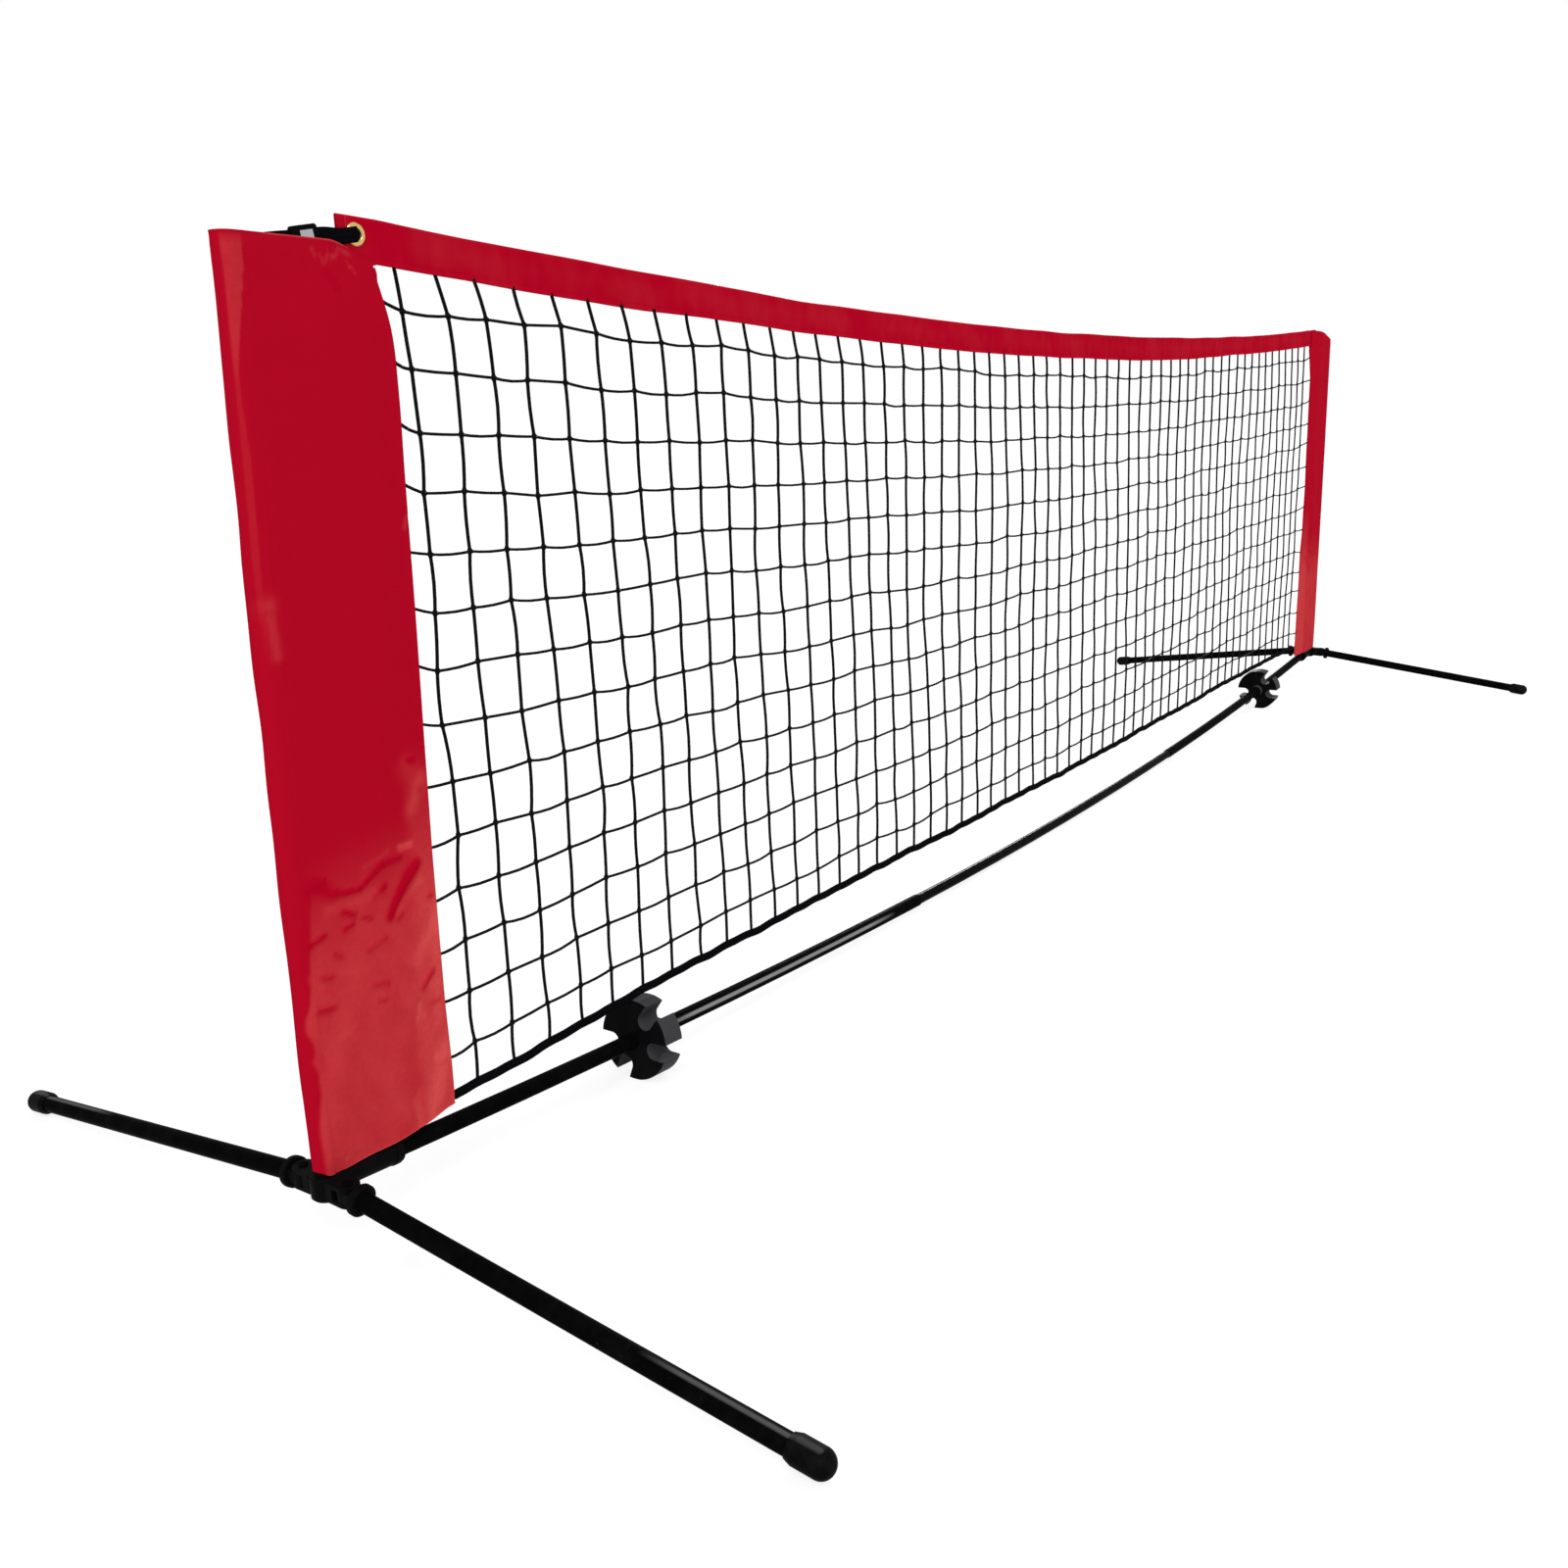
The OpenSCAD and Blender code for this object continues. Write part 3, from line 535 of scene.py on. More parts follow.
def twine_finish(look):
    """Braided black twine: small slanting strands from a wave across the place, slightly waxy."""
    finish = Finish("braided twine", {"Specular IOR Level": 0.02})
    strands = finish.add("ShaderNodeTexWave", {"Vector": finish.place, "Scale": 260.0, "Distortion": 1.5},
                         bands_direction="DIAGONAL").outputs["Fac"]
    fuzz = finish.noise(finish.place, 500.0, 3.0)
    base = finish.blend(finish.math("MULTIPLY", strands, fuzz), look.twine_colour, tinted(look.twine_colour, 2.6))
    return finish.done(base, finish.spread(fuzz, 0.3, 0.7, 0.5, 0.72), (strands, 0.5, 0.0004))


# ---- cloth sleeves -----------------------------------------------------------

# How far the sleeves' inner edges bow out, by height: the near one's, and the far one's
SLEEVE_EDGE = ((84, 130, 190, 250, 340, 450, 560, 690, 740, 790, 812, 832, 859, 880, 900),
               (0, 0, -2.2, -2.4, -2.6, -1, 1, 2, 3, 2.5, 0, -5.5, -14.5, -18, -18))
FAR_EDGE = ((84, 130, 190, 340, 450, 560, 690, 790, 840, 862, 900), (0, 0, -2, -2.5, -1, 1, 2, -2, -6, -10, -10))
# How far the far sleeve's inner edge hangs towards the front, by height, and the height of its upper edge
FAR_SWAY = ((84, 300, 520, 780, 846, 900), (-6, -6, -10, -8, 0, 0))
FAR_TOP = ((-12, -10.5, -8, 5, 29, 50, 75, 110, 154), (867, 872, 875, 877, 883, 888.5, 890.5, 892.5, 893.5))
# How far the cloth is drawn in round the post, by height
POST_SLACK = ((84, 96, 120, 140, 172, 254, 385, 520, 630, 700, 785, 849, 900),
              (-1.1, -0.9, -0.2, 0.7, 1.4, 1.6, 2.2, 2.4, 2.4, 1.0, 0.2, -0.6, -0.6))
# Where the deep red beside the post ends and the painted sheen of the lower panel begins, by height
SHADE_EDGE = ((84, 130, 150, 165, 188, 196, 204, 214, 224, 236, 246, 262, 295, 339, 404),
              (-8, -9, -6.5, -4, -4.5, -8.5, -5, -6, -9.8, -9.5, -5.5, -3, 0, 6, 6))
# Folds in the front panel: start and end as (distance from the post, height), width and height of the fold
FOLDS = (
    ((86, 297), (111, 325), 5.5, -2.2), ((111, 325), (134, 341), 6, -2.1), ((98, 300), (136, 324), 4, 1.0),
    ((9, 354), (24, 353), 2.6, -1.5), ((26, 340), (56, 334), 2.8, -1.5), ((56, 334), (86, 350), 2.8, -1.5),
    ((81, 350), (112, 350), 2.8, -1.4), ((20, 327), (80, 326), 6, 0.9), ((108, 359), (127, 358), 3.4, 1.6),
    ((36, 303), (50, 307), 2.6, -1.2), ((56, 309), (69, 305), 2.4, -1.1), ((97, 293), (108, 298), 2.4, -1.1),
    ((126, 436), (137, 433), 2.8, -1.1), ((137, 407), (144, 407), 3.5, -1.2), ((140, 303), (147, 303), 3, -1.7),
    ((9, 269), (22, 265), 2.6, -1.1), ((60, 244), (82, 239), 2.8, -0.9), ((64, 228), (77, 224), 2.6, -0.9),
    ((1, 240), (22, 238), 3.4, -1.3), ((121, 217), (142, 231), 3.4, -1.9), ((133, 199), (147, 199), 3.4, -1.3),
    ((137, 135), (145, 134), 4, -1.1), ((115, 206), (124, 189), 2.6, 1.7), ((133, 217), (139, 217), 3.2, 1.3),
    ((130, 146), (136, 144), 4, 1.2), ((103, 84), (103, 122), 4.5, 1.1), ((8, 353), (34, 337), 7, -0.5),
    ((74, 869), (79, 861), 1.5, 1.5), ((96, 861), (106, 864), 1.5, 1.6), ((106, 864), (112, 871), 1.3, 1.3),
    ((113, 871), (122, 868), 1.3, 1.5), ((122, 868), (131, 862), 1.3, 1.5), ((86, 852), (100, 838), 3, -0.6),
    ((84, 864), (88, 856), 1.3, 1.4), ((90, 858), (96, 866), 1.3, 1.3), ((118, 860), (128, 852), 1.5, 1.2),
    ((146, 640), (151, 652), 2.5, 1.2), ((36, 322), (52, 312), 3.4, -1.1), ((70, 322), (90, 330), 3.4, -1.1),
    ((2, 300), (20, 306), 3.2, -1.2), ((24, 286), (34, 280), 3, -0.9), ((58, 276), (84, 282), 3, -0.8),
)
# Painted highlight streaks on the front panel, most of them along the inner edge: start, end, width and paleness
PAINTED_HIGHLIGHT_STREAKS = (
    ((124, 384), (148, 420), 8, 0.3), ((116, 244), (150, 280), 8, 0.3), ((118, 84), (150, 158), 11, 0.36),
    ((140, 170), (152, 300), 7, 0.2), ((108, 359), (127, 358), 3, 0.32), ((-2, 271), (0, 271), 3, 0.3),
    ((112, 188), (120, 206), 2.6, 0.3), ((14, 94), (15, 96), 1.6, 0.5), ((30, 268), (46, 262), 2.4, 0.12),
    ((62, 352), (96, 360), 2.2, 0.14), ((22, 208), (40, 214), 2.2, 0.12), ((96, 118), (102, 90), 3.5, 0.2),
    ((-6, 594), (4, 589), 7, 0.26), ((-1, 584), (2, 546), 4.5, 0.24), ((118, 436), (146, 410), 11, 0.14),
)
# Where the stitches draw the front panel in beside the post, by height
GROOVE = ((84, 208, 275, 339, 404, 600, 868), (-1, 0, 1.5, 6, 6, 4, 7))
# Both sides of the painted highlight strip on the bend round the post, by height
STRIP_OUT = ((560, 800, 845, 873), (-8.5, -8.7, -8.7, -9.5))
STRIP_IN = ((560, 700, 760, 781, 800, 823, 855, 868), (-5, -4, -6.5, -5.6, -3, 0.8, 6, 6.5))
# The outline's distances from the post's axis: the bend round the post, and towards mid net where the inner
# wall starts to narrow, the seam beside the inner edge, the start of the edge's rounding, and the edge
POST_BEND = 11.4
NARROWED, SEAM, ROUNDED, EDGE = 128, 147, 151.8, 154
EDGE_HALF = 2.2
TAPER = ((0, 95, 146, 150, ROUNDED), (POST_BEND, 9.9, 2.5, 2.4, EDGE_HALF))
# The near sleeve's upper edge, and how far it drops at the inner corner
NEAR_TOP, CORNER_DROP = 876, 14
# The hems at both ends, and how far inside them their stitches run
HEM, HEM_STITCH = 9.0, 1.2
# The height above which the inner edge is open for the band, and half of that opening
OPEN_ABOVE, OPEN_HALF = 856, 3.2


def half_depth(s):
    """Half of the sleeve's thickness at a distance from the post: tapering to the sewn edge in a soft bend."""
    bent = np.interp(np.add.outer(s, np.linspace(-18, 18, 9)), *TAPER).mean(axis=-1)
    return np.where((s > 40) & (s < 126), bent, np.interp(s, *TAPER))


def sleeve_outline():
    """The sleeve's level outline: front run, round the post and back run, evenly stepped.

    Returns each point's distance from the post's axis and its side, and the unit outward direction there."""
    run = np.concatenate([np.linspace(EDGE, 146, 6), np.linspace(144, 0, 66)])
    turn = np.radians(np.linspace(-90, -270, 31))[1:-1]
    depth = half_depth(run) * np.sqrt(np.clip(1 - (np.maximum(run - ROUNDED, 0) / EDGE_HALF) ** 2, 0, 1))
    s = np.concatenate([run, POST_BEND * np.cos(turn), run[:0:-1]])
    y = np.concatenate([-depth, POST_BEND * np.sin(turn), depth[:0:-1]])
    ahead = np.stack([np.roll(s, -1) - np.roll(s, 1), np.roll(y, -1) - np.roll(y, 1)], axis=1)
    ahead /= np.linalg.norm(ahead, axis=1, keepdims=True)
    return s, y, np.stack([ahead[:, 1], -ahead[:, 0]], axis=1)


def sleeve_edge(z, raised):
    """How far the inner edge bows out from its straight line at a height."""
    return smoothed(z, FAR_EDGE if raised else SLEEVE_EDGE, 8)


def sleeve_top(s, raised):
    """Height of the sleeve's upper edge: level, then easing down at the inner corner, or rounded up to the band."""
    if raised:
        return np.interp(s, *FAR_TOP)
    return NEAR_TOP - CORNER_DROP * np.clip((s - 100) / (EDGE - 100), 0, 1) ** 1.5


def sleeve_relief(s, z, wrinkle_z, front, fold_height, seed):
    """How far the cloth stands out: the folds in front, slack in small and broad ripples, drawn in by the post."""
    push = np.where(front, fold_height, 0.5 * ripples(s, z, seed + 5, 150, 70))
    small = ripples(s, z * 0.8, seed + 1, 60, 22) * (0.1 + 0.25 * (1 - eased(wrinkle_z, 330, 420)))
    broad = ripples(s * 0.7, z * 0.35, seed + 2, 160, 70) * 0.45
    panel = eased(s, 4, 14) * (1 - eased(s, 140, SEAM))
    push = push + (small + broad) * panel
    push -= 0.9 * eased(s, 5, 12) * (1 - eased(s, 60, 120)) * (1 - eased(z, 800, 842))
    push -= 0.7 * bell(s - np.interp(z, *GROOVE), 2.2) * front
    return push


def sleeve_painted_sheen(s, z, wrinkle_z, front, fold_height, seed, raised):
    """How much painted sheen the cloth gets, 0 to 1: on its slack lower panel, a painted highlight on the strip
    round the post and the streaks, more on ridges and less in grooves.
    """
    cloudy = ripples(s * 1.4, z * 0.7, seed + 7, 90, 24, 14)
    wide = ripples(s * 0.5, z * 0.4, seed + 8, 260, 110)
    lower = 1 - eased(wrinkle_z + 14 * wide, 245, 375)
    beyond = eased(s - smoothed(z, SHADE_EDGE, 3), 0, 4)
    # painted sheen: on the lower panel beyond the deep red strip beside the post, and more low down near the inner
    # edge
    pale = 0.37 * lower * beyond * (1 + 0.13 * cloudy)
    pale = pale + 0.2 * (1 - eased(wrinkle_z, 360, 455)) * eased(s + 6 * wide, 104, 124)
    # painted highlight on the strip where the cloth bends round the post
    begin, end = np.interp(z, *STRIP_OUT), np.interp(z, *STRIP_IN)
    strip = eased(s, begin - 0.8, begin + 0.4) * (1 - eased(s, end - 0.4, end + 0.4))
    strip = strip * (eased(z, 540, 640) * 0.4 + 0.6 * eased(z, 755, 790)) * (1 - eased(z, 868, 875))
    pale = pale + (0.06 if raised else 0.25) * strip * front
    # painted highlight streaks on the near sleeve
    if not raised:
        pale = pale + sum(crease(s, z, *streak) for streak in PAINTED_HIGHLIGHT_STREAKS) * front
    # painted highlight on the folds' ridges and painted shade in their grooves
    pale = pale + 0.19 * np.clip(fold_height, -1.9, 1.7) * np.where(fold_height < 0, 1.3, 1) * front
    return np.clip(0.02 + pale, 0, 1)


def build_sleeve(name, node, cloth, material, side, seed):
    """One sleeve: the outline carried up the leaning post, with slack, folds, seams and hems, as a walled tube.

    The far one reaches up to the band, and has fewer folds, which are shallower and 20 mm higher."""
    raised = side > 0
    s, y, out = sleeve_outline()
    # the rings of points stand closer at both ends
    rise = np.concatenate([[0, 0.002, 0.006], np.linspace(0.012, 0.988, 236), [0.994, 0.998, 1]])[:, None]
    top = sleeve_top(s, raised)
    bottom = SLEEVE_BOTTOM + 0.6 * (1 + ripples(s, 0 * s, seed, 160, 60, 4)) + 4.5 * (1 - eased(s, -POST_BEND, -3))
    z = bottom + (top - bottom) * rise
    from_low, from_high = z - bottom, top - z
    wrinkle_z = z - 20 if raised else z
    front = y < 0
    # the inner edge is open where the band goes in
    gape = eased(z, 845, 855) * eased(s, 110, 140)
    y = np.sign(y) * np.maximum(np.abs(y), OPEN_HALF * gape)
    folds, fold_share = (FOLDS[:8], 0.25) if raised else (FOLDS, 1)
    fold_height = sum(crease(s, z, *fold) for fold in folds) * fold_share
    push = sleeve_relief(s, z, wrinkle_z, front, fold_height, seed)
    # the hems stand out, and every sewn line draws the cloth in
    stitch_low, stitch_high = from_low - HEM + HEM_STITCH, from_high - HEM + HEM_STITCH
    push += 0.35 * ((1 - eased(from_low, HEM - 1.5, HEM + 1)) + (1 - eased(from_high, HEM - 1.5, HEM + 1)))
    push -= 0.25 * (bell(stitch_low, 1.0) + bell(stitch_high, 1.0))
    push -= 0.35 * bell(s - SEAM, 1.5)
    push += 0.12 * np.sin(z * 2 * math.pi / 9 + 4 * ripples(s * 0, z, seed + 3, 90, 30)) * bell(s - 143, 5)
    # nothing is pressed in under the strap
    near_strap = eased(z, 835, 850)
    push = np.where(near_strap > 0, np.maximum(push, push * (1 - near_strap) - 0.1), push)
    push *= cloth.fold_depth
    edge_move = sleeve_edge(z, raised) * eased(s, 40, 150)
    slack = np.interp(z, *POST_SLACK) * (1 - eased(s, 5, 60))
    sway = 1.6 * ripples(s * 0.3, z, seed + 4, 420, 180, 5) * eased(s, 40, 90) * (1 - eased(s, 110, 150))
    if raised:
        sway = sway + np.interp(z, *FAR_SWAY) * eased(s, 30, 146)

    def face(at, across, pushed):
        """One face's points: its outline moved with the edge, the slack and the sway, and pushed outwards."""
        x = at + edge_move - slack + out[:, 0] * pushed
        return np.stack([x, across + out[:, 1] * pushed + sway, z], axis=-1)

    rim = 0.25 * (bell(from_low, 0.8) + bell(from_high, 0.8))
    outer = face(s, y, push - rim)
    # the inner face follows, and stops at the sewn line
    wall = cloth.thickness / MM
    s_in = np.where(s > NARROWED, NARROWED + (s - NARROWED) * 0.74, s)
    s_in = s_in + (s - s_in) * gape
    y_in = np.sign(y) * np.maximum(half_depth(s_in) - wall, 0.15 + 2.15 * gape)
    bend = s <= 0
    y_in = np.where(bend, y * (POST_BEND - wall) / POST_BEND, y_in)
    y_in = np.where(s > EDGE - 0.1, 0, y_in)
    s_in = np.where(bend, s * (POST_BEND - wall) / POST_BEND, s_in)
    inner = face(s_in, y_in, push * (1 - eased(s, NARROWED, 146)) + rim)
    # the top edge of the near sleeve and the bottom edges get a painted highlight on the front, and the stitches
    # follow the nearest seam
    edges = (1 - eased(from_high, 0.4, 1.6)) * eased(s, 22, 34) * (1 - eased(s, 112, 130)) * (0 if raised else 0.8)
    edges = edges + 0.35 * (1 - eased(from_low, 0.4, 1.6)) * eased(s, 8, 20)
    pale = sleeve_painted_sheen(s, z, wrinkle_z, front, fold_height, seed, raised)
    pale = np.clip(pale + edges * front, 0, 1)
    upright = np.abs(s - SEAM)
    across = np.minimum(upright, np.minimum(np.abs(stitch_low), np.abs(stitch_high)))
    along = np.where(upright <= across, z, np.broadcast_to(s, z.shape))
    guide = np.stack([across, along, pale], axis=-1)
    open_tip = np.zeros((len(z) - 1, len(s)), dtype=bool)
    open_tip[:, [0, -1]] = z[:-1, :1] > OPEN_ABOVE
    points, quads = walled(outer, inner, wrap=True, left_out=open_tip.ravel())
    points[:, 0] = side * (post_x(points[:, 2]) - points[:, 0])
    if side < 0:
        quads = quads[:, ::-1]
    guide = np.concatenate([guide, guide]).reshape(-1, 3)
    return new_piece(name, points, quads, material, [node], guide)


# ---- top band and hem tape ---------------------------------------------------


def folded_profile(depth, half, mouth, steps, crown=6):
    """A strip folded over an edge, as (side, height) points: up the front, round the fold, down the back.

    half is half of the thickness at the fold, and mouth is half of it at the open edge."""
    climb = np.linspace(-depth, -half, steps)
    spread = half + (mouth - half) * (1 - eased(climb, -depth, -depth + 6))
    turn = np.radians(np.linspace(180, 0, crown + 2))[1:-1]
    side = np.concatenate([-spread, half * np.cos(turn), spread[::-1]])
    height = np.concatenate([climb, -half + half * np.sin(turn), climb[::-1]])
    return side, height


def faced(side):
    """Which way a folded strip faces: -1 in front, 1 at the back and through 0 over the fold."""
    return np.sign(side) * np.minimum(np.abs(side), 1)


# The band's ends, which have fine steps, half of its thickness at its fold and at its open edge, and how far
# its stitches run above that edge and inside its ends
FINE_END = 44
BAND_HALF, BAND_MOUTH = 1.5, 1.75
BAND_STITCH, END_STITCH = 4.5, 5
# The same halves of the hem tape's thickness, on its outer and its inner face
HEM_OUTER, HEM_INNER = (2.3, 1.5), (1.6, 0.8)


def build_band(cloth, material):
    """The band: cloth folded over the net's top edge along the sagging line, with holes for the grommets."""
    wall = cloth.thickness / MM
    ends = np.arange(BAND_END - FINE_END, BAND_END + 0.1, 2.0)
    ends[-1] = BAND_END
    middle = np.linspace(-BAND_END + FINE_END, BAND_END - FINE_END, 420)[1:-1]
    x = np.concatenate([-ends[::-1], middle, ends])[:, None]
    side, height = folded_profile(BAND_DEPTH, BAND_HALF, BAND_MOUTH, 20)
    side_in, height_in = folded_profile(BAND_DEPTH, BAND_HALF - wall, BAND_MOUTH - wall, 20)
    height_in = height_in - wall * eased(height, -3, 0)
    seam = np.abs(height + BAND_DEPTH - BAND_STITCH)
    push = 0.18 * ripples(x, height, 31, 90, 30) + 0.12 * ripples(x, height * 0.5, 32, 30, 12)
    push += 0.25 * bell(height + 18, 9) - 0.28 * bell(seam, 1.2)
    push += 0.16 * np.sin(x * 2 * math.pi / 11 + 2 * ripples(x, 0 * x, 33, 120, 40)) * bell(seam, 5)
    # the ends lie calm between the sleeve's walls
    held = eased(np.abs(x), BAND_END - 60, BAND_END - 46)
    push = push * (1 - 0.9 * held)
    lift = 0.5 * ripples(x, 0 * x, 34, 420, 120, 6) * (1 - held)
    sway = 1.4 * ripples(x, height * 0.4, 35, 900, 260, 6) * (1 - held)
    top = band_top(x) + lift + np.interp(x, *TOP_RISE)
    stretch = 1 + (np.interp(x, *TOP_RISE) - np.interp(x, *LOW_RISE)) / BAND_DEPTH
    height, height_in = height * stretch, height_in * stretch
    over = np.broadcast_to(x + 4 * np.sign(x) * eased(np.abs(x), BAND_END - 9, BAND_END), push.shape)
    face = faced(side)
    outer = np.stack([over, side + face * push + sway, top + height], axis=-1)
    inner = np.stack([over, side_in + face * push + sway, top + height_in], axis=-1)
    # quads with their middle inside a grommet's hole are left out
    middle_x, middle_z = ((at[1:, 1:] + at[:-1, :-1]) / 2 for at in (over, top + height))
    hole = np.hypot(np.abs(middle_x) - GROMMET[0], middle_z - GROMMET[1]) < GROMMET_HOLE
    points, quads = walled(outer, inner, left_out=hole.ravel())
    # painted highlight where the band stands out and along its fold, over a faint random tone
    pale = 0.02 + 0.02 * ripples(x, height, 36, 200, 60) + 0.1 * np.clip(push, -0.3, 0.6)
    pale = pale + 0.05 * eased(height, -2.5, -0.5)
    end_seam = np.abs(BAND_END - END_STITCH - np.abs(over))
    nearest = np.minimum(np.broadcast_to(seam, over.shape), end_seam)
    guide = np.stack([nearest, np.where(end_seam < seam, top + height, over), np.clip(pale, 0, 1)], axis=-1)
    guide = np.concatenate([guide, guide]).reshape(-1, 3)
    return new_piece("top_band_cloth", points, quads[:, ::-1], material, ["top_band"], guide)


def build_hem(material):
    """The hem: black tape folded up round the net's lower edge, a little slack between its stitches."""
    x = np.linspace(-HEM_END, HEM_END, 520)[:, None]
    side, height = folded_profile(HEM_DEPTH, *HEM_OUTER, 9, 7)
    side_in, height_in = folded_profile(HEM_DEPTH, *HEM_INNER, 9, 7)
    calm = 1 - eased(np.abs(x), HEM_END - 30, HEM_END - 2)
    # it hangs a little between the uprights, which are tied to it
    lift = (0.9 * ripples(x, 0 * x, 41, 300, 70, 7) + 0.5 * np.sin(x * 2 * math.pi / 51.2)) * calm
    sway = 0.9 * ripples(x, 0 * x, 42, 260, 60, 7) * calm
    push = 0.15 * ripples(x, height, 43, 40, 14)
    over = np.broadcast_to(x, (len(x), len(side)))
    face = faced(side)
    base = hem_mid(x) + lift + HEM_DEPTH / 2
    low_in = base - HEM_DEPTH - height_in + 0.7 * eased(height, -4, 0)
    outer = np.stack([over, side + face * push + sway, base - HEM_DEPTH - height], axis=-1)
    inner = np.stack([over, side_in + face * push + sway, low_in], axis=-1)
    points, quads = walled(outer, inner)
    return new_piece("hem_tape_webbing", points, quads, material, ["hem_tape"])


# ---- netting -----------------------------------------------------------------

ROWS = 14
# The shares of the way from hem to band that lie below the lowest row and above the highest
LOWEST_ROW, TOP_GAP = 0.052, 0.04
FIRST_UPRIGHT, UPRIGHTS = -1425.5, 56
# How far the first uprights stand off the near sleeve, by upright, and by share of the height
BESIDE_SLEEVE = ((0, 1, 2, 3), (1, 0.7, 0.4, 0))
STOOD_OFF = ((0, 0.27, 0.4, 0.52, 0.73, 0.88, 0.96), (-0.5, 3, 6.7, 1.3, 12, 12.5, 8))
# How far the uprights' heads are drawn towards the near end, by upright
HEAD_DRAWN = ((0, 1, 6, 9, 14, 19, 55), (5, 12, 11, 9, 11, 4, 3))
# How much higher than their outermost knots the rows are sewn to the sleeves, by row
ROW_PULL = ((0, 4, 6, 13), (-3, -3, 6, 8))
# A knot: the steps along the twine from its middle, and how swollen it is at its middle and at those steps
KNOT_REACH = np.array((1.6, 3.2))
KNOT_MIDDLE, KNOT_SIDES = 1.6, (1.35, 1.0)
# How far the uprights lie behind the net's middle, and the rows in front of it, and the uprights' thickness as
# a share of the rows'
TWINE_OFFSET = 0.45
UPRIGHT_SHARE = 1.18


def knot_places(net):
    """x, y and z of every knot, rows by uprights: the even mesh, its lean, its slack and a seeded scatter."""
    column = np.arange(UPRIGHTS)[None, :]
    share = LOWEST_ROW + (1 - LOWEST_ROW - TOP_GAP) * np.arange(ROWS)[:, None] / (ROWS - 1)
    even = FIRST_UPRIGHT + net.pitch / MM * column
    draw = np.random.default_rng(51)
    scatter = draw.normal(0, 1, (3, ROWS, UPRIGHTS)).clip(-1.8, 1.8) * net.slack / MM
    lean = np.minimum((13 + 4 * (even + 1425) / 850) * (1 - share), 17)
    rise = share * 700
    wave = 3.0 * ripples(even, rise, 52, 700, 240, 6) * eased(column, 0, 4)
    stood_off = np.interp(column, *BESIDE_SLEEVE) * np.interp(share, *STOOD_OFF)
    x = even + lean + wave + stood_off + 0.9 * scatter[0]
    low, high = hem_mid(x) + HEM_DEPTH / 2, band_low(x)
    z = low + (high - low) * share + 2.0 * ripples(even, rise, 53, 500, 160, 6) + scatter[1]
    z = z - 6 * bell(column, 2.5) * eased(share, 0.88, 0.96)
    y = 1.8 * ripples(even, rise, 54, 900, 300, 5) + 0.4 * scatter[2]
    return x, y * np.sin(math.pi * share) ** 0.5, z


def thread_path(knots, bow):
    """A twine through a row of points: straight cells that bow by a parabola, with close steps at each knot.

    knots is (count, 3) with plain points at both ends, bow is (count - 1, 3). Returns the path and its swelling."""
    step = np.linalg.norm(np.diff(knots, axis=0), axis=1)
    pieces, swell = [knots[:1]], [np.ones(1)]
    share = np.array([0.22, 0.5, 0.78])
    count, last = len(KNOT_REACH), len(knots) - 2
    for cell in range(len(knots) - 1):
        near = KNOT_REACH / step[cell]
        t = np.concatenate([near if cell else [], share, 1 - near[::-1] if cell < last else [], [1]])
        at = knots[cell] + (knots[cell + 1] - knots[cell]) * t[:, None] + 4 * (t * (1 - t))[:, None] * bow[cell]
        size = np.ones(len(t))
        if cell:
            size[:count] = KNOT_SIDES
        if cell < last:
            size[-1 - count:] = *KNOT_SIDES[::-1], KNOT_MIDDLE
        pieces.append(at)
        swell.append(size)
    return np.concatenate(pieces), np.concatenate(swell)


def twines(paths, radius, side, sides=6):
    """Many twines as one mesh: a six-sided ring carried along each path, thicker at the knots."""
    turn = np.arange(sides) * 2 * math.pi / sides
    ring = np.stack([np.cos(turn), np.sin(turn)], axis=-1) * radius
    points, quads, start = [], [], 0
    for path, swell in paths:
        p, q = swept(path, side, ring[None] * swell[:, None, None])
        points.append(p)
        quads.append(q + start)
        start += len(p)
    return np.concatenate(points), np.concatenate(quads)


def edge_place(z, side):
    """A point 2.2 mm inside a sleeve's inner edge at a height, where a row is sewn in."""
    across = np.interp(z, *FAR_SWAY) if side > 0 else 0
    return [side * (post_x(z) - SLEEVE_REACH - sleeve_edge(z, side > 0) + 2.2), across, z]


